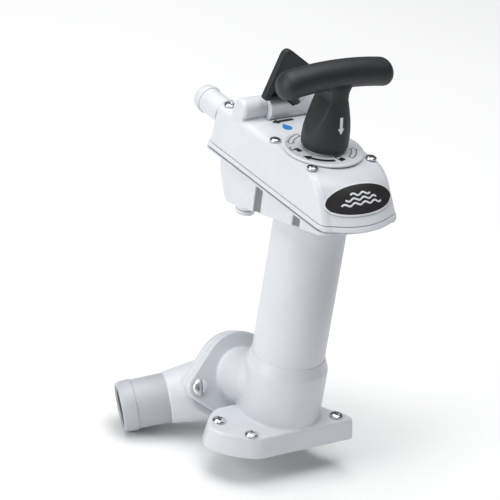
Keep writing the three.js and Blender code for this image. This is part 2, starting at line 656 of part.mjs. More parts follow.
function sealRetainer() {
  return ring(9.1, ROD_R + 0.6, 225, 229.6, { sides: 32 });
}

// ---------------------------------------------------------------- handle
// An oval slice of the stem.
function oval(a, b, z, count = 28) {
  const points = [];
  for (let i = 0; i < count; i++) {
    const t = (i / count) * 2 * Math.PI;
    points.push(new THREE.Vector3(a * Math.cos(t), b * Math.sin(t), z));
  }
  return points;
}

// The grip is a round bar bent to a slight arch, with domed ends.
function grip() {
  const bend = GRIP_HALF ** 2 / (2 * GRIP_DROOP);
  const steps = [-1, -0.985, -0.95, -0.9, -0.83, -0.6, -0.3, 0, 0.3, 0.6, 0.83, 0.9, 0.95, 0.985, 1];
  const domeLength = GRIP_R * 0.86;
  const rings = steps.map((step) => {
    const x = step * GRIP_HALF;
    const past = Math.max(0, Math.abs(x) - (GRIP_HALF - domeLength)) / domeLength;
    const r = Math.max(1.2, GRIP_R * Math.sqrt(Math.max(0, 1 - past ** 2.2)));
    const drop = bend - Math.sqrt(bend ** 2 - x ** 2);
    return oval(r, r, x, 24).map((p) => p.setX(p.x + drop));
  });
  return alongX(loft(rings), 0, GRIP_Z);
}

function handle() {
  const round = loft([
    [246.2, 16.4, 16.4], [248, 17.6, 17.6], [251, 18.3, 18.3], [256, 18.3, 18.3],
    [262, 18, 18], [269, 17, 17], [276, 15.6, 15.6], [283, 14.2, 14.2],
    [289, 13, 13], [294, 14, 12.3], [299, 20, 11.4], [305, 26, 9],
  ].map(([z, a, b]) => oval(a, b, z)));
  const sides = [
    [240, 19], [256, 18.6], [262, 17.3], [269, 15], [276, 12.2], [283, 9.8],
    [288, 8.2], [292, 7.7], [296, 8.6], [300, 11.4], [303, 16], [307, 24],
  ];
  const right = sides.map(([z, half]) => new THREE.Vector2(half, z));
  const left = sides.map(([z, half]) => new THREE.Vector2(-half, z)).reverse();
  const waist = moved(extruded([...right, ...left], -40, 40), new THREE.Matrix4().makeRotationX(Math.PI / 2));
  const stem = round.intersect(waist);
  const rodHole = bar(ROD_R + GAP, 240, ROD_TOP + GAP, { sides: 28 });
  const skirt = bar(14.6, 240, DIAL_TOP + 5.2, { sides: 36 });
  const pinHole = alongX(bar(1.8 + GAP, -30, 30, { sides: 16 }), 0, HANDLE_PIN_Z);
  return cut(join(stem, grip()), rodHole, skirt, pinHole);
}

function handlePin() {
  return alongX(bar(1.6, -7, 7, { sides: 14 }), 0, HANDLE_PIN_Z);
}

// ---------------------------------------------------------------- flush lever and its barrel
// The barrel's lever slot: a V that opens upwards, above a closed pocket for the hub.
function leverSlot() {
  const vee = [[-3.2, 3.4], [3.2, 3.4], [7.6, 7.6], [10, 12], [-10, 12], [-7.6, 7.6]];
  const outline = vee.map(([x, z]) => new THREE.Vector2(LEVER_X + x, BARREL_Z + z));
  const upright = new THREE.Matrix4().makeRotationX(Math.PI / 2);
  const mouth = moved(extruded(outline, -LEVER_BACK - 0.6, -LEVER_BACK + 12), upright);
  const pocket = block(
    LEVER_X - 5.3, LEVER_X + 5.3, LEVER_TANG - 0.5, LEVER_BACK + 0.6, BARREL_Z - 5, BARREL_Z + 6,
  );
  return join(mouth, pocket);
}

function leverBarrel() {
  const half = alongX(bar(BARREL_R, BARREL_SEAM, BARREL_HALF - 0.6, { sides: 36 }), BARREL_Y, BARREL_Z);
  const pinHole = alongY(bar(1.6 + GAP, LEVER_TANG - 1.2, 90, { sides: 16 }), LEVER_X, BARREL_Z);
  return cut(half, leverSlot(), pinHole);
}

// A plate drawn in x and up, from one depth to another behind the lever's front face.
function leverPlate(points, front, back, edge) {
  return loft([
    lift(inset(points, edge), LEVER_BACK - back), lift(points, LEVER_BACK - back + edge),
    lift(points, LEVER_BACK - front - edge), lift(inset(points, edge), LEVER_BACK - front),
  ]);
}

// Upright, the lever is a fan-shaped paddle whose neck runs to a point above its pivot.
function flushLever() {
  const path = new THREE.Path();
  path.moveTo(1, 4.2);
  path.lineTo(3, 7.8);
  path.lineTo(4.4, 10.6);
  path.quadraticCurveTo(5.6, 12.6, 8, 13.4);
  path.lineTo(22, 18.4);
  path.quadraticCurveTo(27.4, 20.2, 25.1, 23.1);
  path.lineTo(5.4, 50.2);
  path.quadraticCurveTo(0, 57.4, -5.4, 50.2);
  path.lineTo(-25.1, 23.1);
  path.quadraticCurveTo(-27.4, 20.2, -22, 18.4);
  path.lineTo(-8, 13.4);
  path.quadraticCurveTo(-5.6, 12.6, -4.4, 10.6);
  path.lineTo(-3, 7.8);
  path.lineTo(-1, 4.2);
  const paddle = leverPlate(path.getPoints(6), LEVER_FRONT, LEVER_BACK, 0.7);
  const depth = LEVER_BACK - LEVER_TANG;
  const hub = bar(LEVER_HUB_R, 0, depth, { sides: 28 });
  const tang = block(-2.8, 2.8, 0, 9, 0, depth);
  const pinHole = bar(1.6 + GAP, -1, depth + 1, { sides: 16 });
  const thick = LEVER_BACK - LEVER_FRONT;
  const corner = [[-20.5, 20.4], [-8, 16.6], [-13.4, 31]].map(([x, y]) => new THREE.Vector2(x, y));
  const dish = extruded(corner, thick - 3.8, thick + 1);
  const solid = cut(join(paddle, hub, tang), pinHole, dish);
  const upright = new THREE.Matrix4().makeBasis(
    new THREE.Vector3(1, 0, 0), new THREE.Vector3(0, 0, 1), new THREE.Vector3(0, -1, 0),
  );
  const lean = new THREE.Matrix4().makeRotationY(radians(-LEVER_LEAN));
  return moved(solid, lean.multiply(upright).setPosition(LEVER_X, LEVER_BACK, BARREL_Z));
}

function leverPin() {
  return alongY(bar(1.6, LEVER_TANG - 0.9, BARREL_Y + 9, { sides: 14 }), LEVER_X, BARREL_Z);
}

// ---------------------------------------------------------------- badge
// An oval plate that follows the bowed nose, made from two shifted copies of the nose surface.
function badgePlate() {
  const slope = Math.atan(NOSE_SLOPE);
  const outward = new THREE.Vector3(0, -Math.cos(slope), Math.sin(slope));
  const shifted = (distance) =>
    coverBody(0, SPLIT + 0.6).translate(outward.clone().multiplyScalar(distance).toArray());
  const plug = loft([-30, 30].map((z) => oval(31, 12.2, z, 48)));
  const at = new THREE.Vector3(0, -53, 227);
  const across = new THREE.Vector3(1, 0, 0);
  const up = new THREE.Vector3().crossVectors(outward, across);
  const frame = new THREE.Matrix4().makeBasis(across, up, outward).setPosition(at);
  return moved(plug, frame).intersect(shifted(1.1)).subtract(shifted(GAP));
}

// ---------------------------------------------------------------- assembly
add('pump_base', pumpBase(), 'body');
add('base_gasket', baseGasket(), 'rubber');
add('base_flapper', baseFlapper(), 'rubber');
add('flapper_weight', flapperWeight(), 'brass');
FOOT_SCREWS.forEach(([x, y], i) => {
  const place = new THREE.Matrix4().makeRotationZ(0.5 + i).setPosition(x, y, FOOT_TOP + GAP);
  add(`base_screw_${i + 1}`, moved(screw(BASE_SCREW), place), 'steel');
});
add('joker_valve', jokerValve(), 'rubber');
add('discharge_elbow', dischargeElbow(), 'body');
[-1, 1].forEach((side, i) => {
  add(`discharge_screw_${i + 1}`, dischargeScrew(side), 'steel');
  add(`discharge_nut_${i + 1}`, dischargeNut(side), 'steel');
});
add('pump_cylinder', pumpCylinder(), 'tube');
add('piston', piston(), 'nylon');
add('piston_o_ring', roundRing(22.9, 1.2, PISTON_BOTTOM + PISTON_HEIGHT / 2), 'rubber');
add('piston_rod', pistonRod(), 'steel');
add('piston_nut', pistonNut(), 'steel');
add('head_housing', headHousing(), 'body');
add('head_gasket', headGasket(), 'rubber');
add('head_cover', headCover(), 'body');
COVER_SCREWS.forEach(([x, y], i) => {
  const place = new THREE.Matrix4().makeRotationZ(0.3 + i).setPosition(x, y, HEAD_TOP + GAP);
  add(`cover_screw_${i + 1}`, moved(screw(HEAD_SCREW), place), 'steel');
});
add('vent_plug', ventPlug(), 'body');
add('inlet_seat', inletSeat(), 'nylon');
add('inlet_flap', inletFlap(), 'rubber');
add('intake_hosetail', intakeHosetail(), 'body');
add('seal_housing', sealHousing(), 'body');
add('rod_seal', rodSeal(), 'rubber');
add('seal_retainer', sealRetainer(), 'nylon');
add('handle', handle(), 'black');
add('handle_pin', handlePin(), 'steel');
add('lever_barrel', leverBarrel(), 'body');
add('flush_lever', flushLever(), 'black');
add('lever_pin', leverPin(), 'steel');
add('badge_plate', badgePlate(), 'badge');

export default pump;
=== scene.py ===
import json
import math

import bmesh
import bpy
from mathutils import Matrix, Vector
from mathutils.bvhtree import BVHTree


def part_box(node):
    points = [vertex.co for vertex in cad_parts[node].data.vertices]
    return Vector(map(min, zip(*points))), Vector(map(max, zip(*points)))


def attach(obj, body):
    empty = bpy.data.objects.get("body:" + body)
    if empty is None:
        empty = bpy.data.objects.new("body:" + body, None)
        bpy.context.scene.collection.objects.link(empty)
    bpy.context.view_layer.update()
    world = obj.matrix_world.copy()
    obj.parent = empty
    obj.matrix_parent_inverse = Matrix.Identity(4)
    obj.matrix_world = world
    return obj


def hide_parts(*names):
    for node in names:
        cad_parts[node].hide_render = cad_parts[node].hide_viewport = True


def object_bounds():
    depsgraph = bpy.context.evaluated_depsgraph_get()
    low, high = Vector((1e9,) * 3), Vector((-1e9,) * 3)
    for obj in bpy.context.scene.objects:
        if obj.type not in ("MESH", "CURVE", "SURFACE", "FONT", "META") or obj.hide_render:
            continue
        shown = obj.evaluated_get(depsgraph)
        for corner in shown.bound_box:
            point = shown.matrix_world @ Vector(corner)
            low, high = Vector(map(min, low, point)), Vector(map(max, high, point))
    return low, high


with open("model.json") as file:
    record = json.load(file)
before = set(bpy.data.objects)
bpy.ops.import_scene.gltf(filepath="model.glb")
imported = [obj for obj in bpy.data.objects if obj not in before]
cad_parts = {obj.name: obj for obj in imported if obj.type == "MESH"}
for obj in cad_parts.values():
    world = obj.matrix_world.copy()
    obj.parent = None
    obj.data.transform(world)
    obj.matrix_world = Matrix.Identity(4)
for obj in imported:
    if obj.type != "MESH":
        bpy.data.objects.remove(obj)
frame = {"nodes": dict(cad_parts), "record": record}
cad_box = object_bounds()

# Every length below is in millimetres; finish_piece scales each mesh to metres.
MM = 0.001
GAP = 0.3

# Camera: degrees, metres and millimetres of lens on a 36 mm sensor.
AZIMUTH, ELEVATION, ROLL = 38.58, 26.53, 9.26
CAMERA_TARGET = (-0.0539, 0.0, 0.1666)
CAMERA_DISTANCE = 2.718
CAMERA_LENS = 259.2


def box_mm(node):
    low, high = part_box(node)
    return low / MM, high / MM


def make_camera():
    azimuth, elevation, roll = math.radians(AZIMUTH), math.radians(ELEVATION), math.radians(ROLL)
    target = Vector(CAMERA_TARGET)
    right = Vector((math.cos(azimuth), -math.sin(azimuth), 0))
    back = Vector((-math.sin(azimuth) * math.cos(elevation), -math.cos(azimuth) * math.cos(elevation),
                   math.sin(elevation)))
    up = back.cross(right)
    x_axis = math.cos(roll) * right + math.sin(roll) * up
    y_axis = -math.sin(roll) * right + math.cos(roll) * up
    data = bpy.data.cameras.new("camera")
    data.sensor_width = 36
    data.lens = CAMERA_LENS
    data.clip_end = 50
    camera = bpy.data.objects.new("camera", data)
    turn = Matrix((x_axis, y_axis, back)).transposed().to_4x4()
    camera.matrix_world = Matrix.Translation(target + CAMERA_DISTANCE * back) @ turn
    bpy.context.scene.collection.objects.link(camera)
    bpy.context.scene.camera = camera


# ---------------------------------------------------------------- mesh tools
def new_object(name, verts, faces):
    mesh = bpy.data.meshes.new(name)
    mesh.from_pydata([tuple(v) for v in verts], [], faces)
    bm = bmesh.new()
    bm.from_mesh(mesh)
    bmesh.ops.remove_doubles(bm, verts=bm.verts, dist=1e-5)
    bmesh.ops.recalc_face_normals(bm, faces=bm.faces)
    bm.to_mesh(mesh)
    bm.free()
    obj = bpy.data.objects.new(name, mesh)
    bpy.context.scene.collection.objects.link(obj)
    return obj


def loft(name, rings):
    """A skin over rings of points that all have the same count, closed by flat ends."""
    count = len(rings[0])
    faces = [tuple(range(count))[::-1], tuple(range((len(rings) - 1) * count, len(rings) * count))]
    for k in range(len(rings) - 1):
        for i in range(count):
            a, b = k * count + i, k * count + (i + 1) % count
            faces.append((a, b, b + count, a + count))
    return new_object(name, [p for ring in rings for p in ring], faces)


def lathe(name, profile, sides=128, matrix=None):
    """A turned piece about Z, from (radius, height) pairs that end on the axis or close on themselves."""
    verts, faces, rows = [], [], []
    for r, z in profile:
        if r < 1e-6:
            rows.append([len(verts)] * sides)
            verts.append((0, 0, z))
        else:
            rows.append([len(verts) + i for i in range(sides)])
            turns = [2 * math.pi * i / sides for i in range(sides)]
            verts += [(r * math.cos(t), r * math.sin(t), z) for t in turns]
    for low, high in zip(rows, rows[1:]):
        for i in range(sides):
            j = (i + 1) % sides
            corners = [low[i], low[j], high[j], high[i]]
            face = [v for n, v in enumerate(corners) if v not in corners[:n]]
            if len(face) > 2:
                faces.append(tuple(face))
    obj = new_object(name, verts, faces)
    if matrix is not None:
        obj.data.transform(matrix)
    return obj


def rod(r, z0, z1, matrix=None, x=0, y=0, sides=64):
    place = Matrix.Translation((x, y, 0))
    return lathe("rod", [(0, z0), (r, z0), (r, z1), (0, z1)], sides, matrix @ place if matrix else place)


def ball(r, centre, sides=64, scale=(1, 1, 1)):
    half = sides // 2
    arc = [(r * math.sin(math.pi * i / half), -r * math.cos(math.pi * i / half)) for i in range(half + 1)]
    arc[0], arc[-1] = (0, -r), (0, r)
    return lathe("ball", arc, sides, Matrix.Translation(centre) @ Matrix.Diagonal((*scale, 1)))


def block(x0, x1, y0, y1, z0, z1, matrix=None):
    ring = [(x0, y0), (x1, y0), (x1, y1), (x0, y1)]
    obj = loft("block", [[Vector((x, y, z)) for x, y in ring] for z in (z0, z1)])
    if matrix is not None:
        obj.data.transform(matrix)
    return obj


def apply_modifiers(obj):
    depsgraph = bpy.context.evaluated_depsgraph_get()
    mesh = bpy.data.meshes.new_from_object(obj.evaluated_get(depsgraph))
    obj.modifiers.clear()
    obj.data = mesh
    return obj


def combine(obj, operation, *tools):
    for tool in tools:
        modifier = obj.modifiers.new("combine", "BOOLEAN")
        modifier.object = tool
        modifier.operation = operation
        modifier.solver = "MANIFOLD"
        apply_modifiers(obj)
        bpy.data.objects.remove(tool)
    return obj


def join(obj, *others):
    return combine(obj, "UNION", *others)


def cut(obj, *tools):
    return combine(obj, "DIFFERENCE", *tools)


def moulded(obj, voxel, rounds):
    """Rebuilds the skin on a fine grid and relaxes it, so edges and corners get a moulded radius."""
    remesh = obj.modifiers.new("skin", "REMESH")
    remesh.mode = "VOXEL"
    remesh.voxel_size = voxel
    relax = obj.modifiers.new("relax", "SMOOTH")
    relax.factor = 0.5
    relax.iterations = rounds
    return apply_modifiers(obj)


def shade(obj, sharp_above=40):
    bm = bmesh.new()
    bm.from_mesh(obj.data)
    limit = math.radians(sharp_above)
    for face in bm.faces:
        face.smooth = True
    for edge in bm.edges:
        edge.smooth = len(edge.link_faces) == 2 and edge.calc_face_angle(0) < limit
    bm.to_mesh(obj.data)
    bm.free()


def finish_piece(obj, name, body, material, replaces=(), sharp_above=40):
    obj.name = name
    obj.data.name = name
    shade(obj, sharp_above)
    obj.data.transform(Matrix.Scale(MM, 4))
    obj.data.materials.clear()
    obj.data.materials.append(material)
    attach(obj, body)
    if replaces:
        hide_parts(*replaces)
    return obj


# ---------------------------------------------------------------- outlines
def bezier(p0, p1, p2, p3, steps):
    points = []
    for i in range(steps):
        t = i / steps
        s = 1 - t
        points.append(Vector([s**3 * a + 3 * s * s * t * b + 3 * s * t * t * c + t**3 * d
                              for a, b, c, d in zip(p0, p1, p2, p3)]))
    return points


def corner(p0, p1, p2, steps):
    """A quadratic corner as a cubic."""
    third = [p0[i] + 2 / 3 * (p1[i] - p0[i]) for i in (0, 1)]
    fourth = [p2[i] + 2 / 3 * (p1[i] - p2[i]) for i in (0, 1)]
    return bezier(p0, third, fourth, p2, steps)


def line(p0, p1, steps):
    return [Vector(p0).lerp(Vector(p1), i / steps) for i in range(steps)]


def arc(cx, cy, r, start, stop, steps):
    angles = [start + (stop - start) * i / steps for i in range(steps + 1)]
    return [Vector((cx + r * math.cos(a), cy + r * math.sin(a))) for a in angles]


def inset(points, distance):
    moved = []
    for i, p in enumerate(points):
        along = (points[(i + 1) % len(points)] - points[i - 1]).normalized()
        moved.append(Vector((p.x - along.y * distance, p.y + along.x * distance)))
    return moved


def lift(points, z):
    return [Vector((p.x, p.y, z)) for p in points]


def rounded_slab(name, outline, z0, z1, radius, steps=4):
    """An outline with thickness whose upper and lower edges are rounded."""
    rings = []
    for i in range(steps + 1):
        a = math.pi / 2 * i / steps
        rings.append(lift(inset(outline, radius * (1 - math.sin(a))), z0 + radius * (1 - math.cos(a))))
    for i in range(steps + 1):
        a = math.pi / 2 * (1 - i / steps)
        rings.append(lift(inset(outline, radius * (1 - math.sin(a))), z1 - radius * (1 - math.cos(a))))
    return loft(name, rings)


# ---------------------------------------------------------------- materials
def nodes_of(name):
    material = bpy.data.materials.new(name)
    material.use_nodes = True
    tree = material.node_tree
    return material, tree, tree.nodes["Principled BSDF"]


def noise(tree, scale, detail=3.0, rough=0.5, stretch=None):
    coords = tree.nodes.new("ShaderNodeTexCoord")
    texture = tree.nodes.new("ShaderNodeTexNoise")
    texture.inputs["Scale"].default_value = scale
    texture.inputs["Detail"].default_value = detail
    texture.inputs["Roughness"].default_value = rough
    source = coords.outputs["Object"]
    if stretch:
        mapping = tree.nodes.new("ShaderNodeMapping")
        mapping.inputs["Scale"].default_value = stretch
        tree.links.new(source, mapping.inputs["Vector"])
        source = mapping.outputs["Vector"]
    tree.links.new(source, texture.inputs["Vector"])
    return texture.outputs["Fac"]


def ramp(tree, fac, stops):
    node = tree.nodes.new("ShaderNodeValToRGB")
    elements = node.color_ramp.elements
    while len(elements) < len(stops):
        elements.new(0.5)
    for element, (position, colour) in zip(elements, stops):
        element.position = position
        element.color = (*colour, 1) if len(colour) == 3 else colour
    tree.links.new(fac, node.inputs["Fac"])
    return node.outputs["Color"]


def mixed(tree, fac, a, b, blend="MIX"):
    node = tree.nodes.new("ShaderNodeMix")
    node.data_type = "RGBA"
    node.blend_type = blend
    if isinstance(fac, float):
        node.inputs["Factor"].default_value = fac
    else:
        tree.links.new(fac, node.inputs["Factor"])
    for socket, value in ((node.inputs["A"], a), (node.inputs["B"], b)):
        if isinstance(value, tuple):
            socket.default_value = (*value, 1)
        else:
            tree.links.new(value, socket)
    return node.outputs["Result"]


def tint(colour, factor):
    return tuple(min(1, c * factor) for c in colour)


def bumped(tree, shader, height, strength, distance):
    bump = tree.nodes.new("ShaderNodeBump")
    bump.inputs["Strength"].default_value = strength
    bump.inputs["Distance"].default_value = distance
    tree.links.new(height, bump.inputs["Height"])
    tree.links.new(bump.outputs["Normal"], shader.inputs["Normal"])


def edge_mask(tree, low=0.54, high=0.66):
    geometry = tree.nodes.new("ShaderNodeNewGeometry")
    return ramp(tree, geometry.outputs["Pointiness"], [(low, (0, 0, 0)), (high, (1, 1, 1))])


def plastic(name, colour, rough=(0.28, 0.36), grain=0.12, wear=1.06):
    """Plastic with a faint cloudy colour and a fine grain; edges are paler unless wear is 1."""
    material, tree, shader = nodes_of(name)
    cloud = ramp(tree, noise(tree, 22, 4, 0.6), [(0.3, tint(colour, 0.965)), (0.7, tint(colour, 1.02))])
    speck = ramp(tree, noise(tree, 900, 2, 0.6), [(0.35, (0.975, 0.975, 0.975)), (0.62, (1, 1, 1))])
    body = mixed(tree, 1.0, cloud, speck, "MULTIPLY")
    if wear != 1.0:
        body = mixed(tree, edge_mask(tree), body, tint(colour, wear))
    tree.links.new(body, shader.inputs["Base Color"])
    gloss = ramp(tree, noise(tree, 60, 1.5, 0.4), [(0.1, (rough[0],) * 3), (0.9, (rough[1],) * 3)])
    tree.links.new(gloss, shader.inputs["Roughness"])
    bumped(tree, shader, noise(tree, 2600, 3, 0.6), grain, 0.00012)
    return material


def metal(name, colour, rough, streak=0.0):
    material, tree, shader = nodes_of(name)
    tone = ramp(tree, noise(tree, 140, 4, 0.6), [(0.3, tint(colour, 0.9)), (0.7, tint(colour, 1.03))])
    tree.links.new(tone, shader.inputs["Base Color"])
    stretch = (30, 30, 1) if streak else None
    limits = [(0.3, (rough * 0.7,) * 3), (0.7, (rough * 1.5,) * 3)]
    gloss = ramp(tree, noise(tree, 220, 4, 0.6, stretch), limits)
    tree.links.new(gloss, shader.inputs["Roughness"])
    bumped(tree, shader, noise(tree, 900, 3, 0.6, stretch), 0.04 + streak, 0.0001)
    shader.inputs["Metallic"].default_value = 1.0
    return material


def rubber(name, colour):
    material, tree, shader = nodes_of(name)
    tone = ramp(tree, noise(tree, 260, 5, 0.7), [(0.3, tint(colour, 0.7)), (0.75, tint(colour, 1.4))])
    tree.links.new(tone, shader.inputs["Base Color"])
    gloss = ramp(tree, noise(tree, 90, 4, 0.6), [(0.3, (0.62,) * 3), (0.7, (0.85,) * 3)])
    tree.links.new(gloss, shader.inputs["Roughness"])
    bumped(tree, shader, noise(tree, 1800, 3, 0.7), 0.35, 0.0002)
    return material


def ink(name, colour):
    """A printed mark: slightly uneven cover and a dull sheen."""
    material, tree, shader = nodes_of(name)
    tone = ramp(tree, noise(tree, 700, 4, 0.7), [(0.3, tint(colour, 0.85)), (0.7, tint(colour, 1.08))])
    tree.links.new(tone, shader.inputs["Base Color"])
    gloss = ramp(tree, noise(tree, 300, 3, 0.6), [(0.3, (0.35,) * 3), (0.7, (0.5,) * 3)])
    tree.links.new(gloss, shader.inputs["Roughness"])
    return material


WHITE = plastic("moulded_white", (0.70, 0.72, 0.755))
TURNED = plastic("turned_white", (0.70, 0.72, 0.755), wear=1.0)
# Greyer white for the discharge hosetail: painted shade, darker than the rest of the white plastic.
TAIL_PAINTED_SHADE = plastic("tail_painted_shade", (0.50, 0.52, 0.55), rough=(0.34, 0.46), wear=1.0)
TUBE = plastic("tube_white", (0.70, 0.72, 0.755), rough=(0.27, 0.33), grain=0.06, wear=1.0)
BLACK = plastic("moulded_black", (0.018, 0.020, 0.024), rough=(0.46, 0.58), grain=0.3, wear=1.6)
# Dark grey that paints the shade deep in the discharge bore and in the head's screw channels.
PAINTED_SHADE_GREY = plastic("painted_shade_grey", (0.20, 0.205, 0.215), rough=(0.5, 0.62), wear=1.0)
SEAL_GREY = rubber("seal_grey", (0.22, 0.225, 0.23))
NYLON = plastic("nylon", (0.86, 0.85, 0.80), rough=(0.4, 0.5))
RUBBER = rubber("black_rubber", (0.02, 0.02, 0.02))
STEEL = metal("polished_steel", (0.80, 0.81, 0.83), 0.12)
SATIN = metal("satin_steel", (0.86, 0.87, 0.89), 0.34)
ROD_STEEL = metal("drawn_steel", (0.74, 0.75, 0.77), 0.2, streak=0.05)
BRASS = metal("turned_brass", (0.71, 0.52, 0.24), 0.25, streak=0.05)
BLACK_INK = ink("black_ink", (0.012, 0.012, 0.014))
BLUE_INK = ink("blue_ink", (0.03, 0.2, 0.55))
PALE_INK = ink("pale_ink", (0.82, 0.84, 0.86))
BADGE_BLACK = ink("badge_black", (0.02, 0.018, 0.02))

SLOT_MATERIAL = {"white_plastic": WHITE, "tube_plastic": TUBE, "black_plastic": BLACK, "seal_rubber": RUBBER,
                 "stainless": STEEL, "brass_weight": BRASS, "nylon": NYLON, "badge": BADGE_BLACK}


def dress_cad_nodes():
    slots = {s["node"]: s["material_slot"] for s in frame["record"]["subparts"]}
    for name, obj in frame["nodes"].items():
        obj.data.materials.clear()
        obj.data.materials.append(SLOT_MATERIAL[slots[name]])


# ---------------------------------------------------------------- screws and nuts
def screw(head_r, head_h, shank_r, length, slotted, matrix):
    dome = [(0, -length), (shank_r, -length), (shank_r, 0), (head_r - 0.25, 0), (head_r, 0.25)]
    rise = head_h - 0.5
    for i in range(9):
        a = math.pi / 2 * i / 8
        dome.append((head_r * math.cos(a) ** 0.75, 0.5 + rise * math.sin(a)))
    dome[-1] = (0, head_h)
    obj = lathe("screw", dome, 48)
    if slotted:
        cut(obj, block(-head_r * 1.2, head_r * 1.2, -0.65, 0.65, head_h * 0.42, head_h + 2))
    else:
        for turn in (0, math.pi / 2):
            reach = head_r * 0.6
            wing = [(-reach, -0.75), (reach, -0.75), (reach, 0.75), (-reach, 0.75)]
            foot = [(x * 0.45, y * 0.6) for x, y in wing]
            ends = ((foot, head_h * 0.2), (wing, head_h + 0.6))
            tool = loft("wing", [[Vector((x, y, z)) for x, y in pts] for pts, z in ends])
            tool.data.transform(Matrix.Rotation(turn, 4, "Z"))
            cut(obj, tool)
    obj.data.transform(matrix)
    return obj


def place_cross_screw(node, head_r, head_h, turn, body="pump_body"):
    low, high = box_mm(node)
    seat = high.z - CAD_HEAD[node.rsplit("_", 1)[0]]
    centre = (low + high) / 2
    matrix = Matrix.Translation((centre.x, centre.y, seat)) @ Matrix.Rotation(turn, 4, "Z")
    obj = screw(head_r, head_h, 2, seat - low.z, False, matrix)
    finish_piece(obj, node + "_looks", body, STEEL, [node], 30)


CAD_HEAD = {"base_screw": 2.6, "cover_screw": 2.3}  # head heights in the frame


# ---------------------------------------------------------------- base
FOOT_TOP = 17.0
COLLAR_R, COLLAR_END = 32.6, 68.4
TUBE_R, TUBE_BORE, TUBE_FOOT, TUBE_END = 28.7, 25.4, 38.0, 197.0
FLANGE_R, FLANGE_EAR_R, FLANGE_BOLT, PLATE = 35.2, 9.6, 39.4, 7.0
PORT_R = 16.5


def foot_outline():
    points = line((-38, -37.2), (45, -37.2), 24)
    points += corner((45, -37.2), (50.6, -37), (50.6, -31.5), 14)
    points += bezier((50.6, -31.5), (50.6, -19), (37, -16), (37, 0), 24)
    points += bezier((37, 0), (37, 16), (50.6, 19), (50.6, 31.5), 24)
    points += corner((50.6, 31.5), (50.6, 37), (45, 37), 14)
    points += line((45, 37), (33, 37), 5)
    points += bezier((33, 37), (24, 37), (26, 21), (12, 21), 18)
    points += line((12, 21), (-44, 21), 16)
    points += bezier((-44, 21), (-54, 21), (-68.5, 6), (-70.8, -4), 24)
    points += bezier((-70.8, -4), (-69.5, -20), (-51, -36), (-38, -37.2), 30)
    return points


def flange_matrix():
    tilt, roll = math.radians(25.5), math.radians(3.5)
    normal = Vector((0, math.cos(tilt), -math.sin(tilt)))
    level = Matrix.Rotation(-roll, 3, normal) @ Vector((1, 0, 0))
    up = normal.cross(level)
    turn = Matrix((level, up, normal)).transposed().to_4x4()
    return Matrix.Translation((-12.8, 38, 28.8)) @ turn


FLANGE = flange_matrix()


def flange_plate(z0, z1, edge=1.1):
    reach = math.acos((FLANGE_R - FLANGE_EAR_R) / FLANGE_BOLT)
    points = arc(0, 0, FLANGE_R, reach, math.pi - reach, 30)
    points += arc(-FLANGE_BOLT, 0, FLANGE_EAR_R, math.pi - reach, math.pi + reach, 24)
    points += arc(0, 0, FLANGE_R, math.pi + reach, 2 * math.pi - reach, 30)
    points += arc(FLANGE_BOLT, 0, FLANGE_EAR_R, -reach, reach, 24)
    return rounded_slab("plate", points, z0, z1, edge)


def on(matrix, *objs):
    for obj in objs:
        obj.data.transform(matrix)
    return objs


def build_base():
    outline = foot_outline()
    rings = [lift(inset(outline, 0.8), 0), lift(inset(outline, 0.1), 0.4), lift(outline, 1)]
    rings += [lift(inset(outline, 2.0), FOOT_TOP - 2.4), lift(inset(outline, 2.5), FOOT_TOP - 1.1),
              lift(inset(outline, 3.2), FOOT_TOP)]
    foot = loft("base", rings)
    profile = [
        (0, 2), (COLLAR_R + 1, 2), (COLLAR_R + 1, FOOT_TOP), (COLLAR_R + 0.2, FOOT_TOP + 0.7),
        (COLLAR_R, FOOT_TOP + 1.6), (COLLAR_R, 58.4), (COLLAR_R - 0.4, 59.6), (29.7, 66.4),
        (29.1, COLLAR_END), (0, COLLAR_END),
    ]
    collar = lathe("collar", profile, 160)
    trim = block(-60, 60, -34, 34, -1, 90)
    combine(collar, "INTERSECT", trim)
    neck_profile = [
        (0, -46), (12, -44), (19, -36), (22, -27), (22, -1.6), (22.5, -0.6), (23.6, 0.6), (0, 0.6),
    ]
    neck = lathe("neck", neck_profile, 128)
    plate = flange_plate(0, PLATE)
    join(neck, plate)
    on(FLANGE, neck)
    beyond, = on(FLANGE, block(-99, 99, -99, 99, PLATE, 99))
    base = join(foot, collar, neck)
    cut(base, beyond, block(-99, 99, -99, 24, -50, 0))
    moulded(base, 0.65, 4)
    ports = rod(PORT_R, -40, PLATE + 2, FLANGE)
    holes = [rod(3.1, -2, PLATE + 2, FLANGE, x=side * FLANGE_BOLT, sides=32) for side in (-1, 1)]
    socket = rod(TUBE_R + 0.03, TUBE_FOOT - GAP, 80, sides=192)
    chamber, inlet = rod(23, 6, 38, sides=96), rod(8, -3, 8, y=10, sides=64)
    cut(base, socket, chamber, ports, *holes, inlet)
    groove = lathe("groove", [(26.7, -1), (31.3, -1), (31.3, 2.4), (26.7, 2.4), (26.7, -1)], 96)
    cut(base, groove)
    finish_piece(base, "base_casting", "pump_body", WHITE, ["pump_base"], 50)
    gasket = lathe("gasket", [(27, 0), (31, 0), (31, 2.1), (27, 2.1), (27, 0)], 96)
    finish_piece(gasket, "foot_gasket", "pump_body", RUBBER, ["base_gasket"])


# ---------------------------------------------------------------- discharge elbow
MOUTH = Vector((-94.9, 79, -5.9))
YAW, DROP = math.radians(22), math.radians(14.6)
PIPE = Vector((-math.cos(YAW) * math.cos(DROP), math.sin(YAW) * math.cos(DROP), -math.sin(DROP)))
PIPE_R, PIPE_LENGTH = 19.9, 72.0
PIPE_ROOT = MOUTH - PIPE_LENGTH * PIPE
ON_PIPE = Matrix.Translation(PIPE_ROOT) @ Vector((0, 0, 1)).rotation_difference(PIPE).to_matrix().to_4x4()


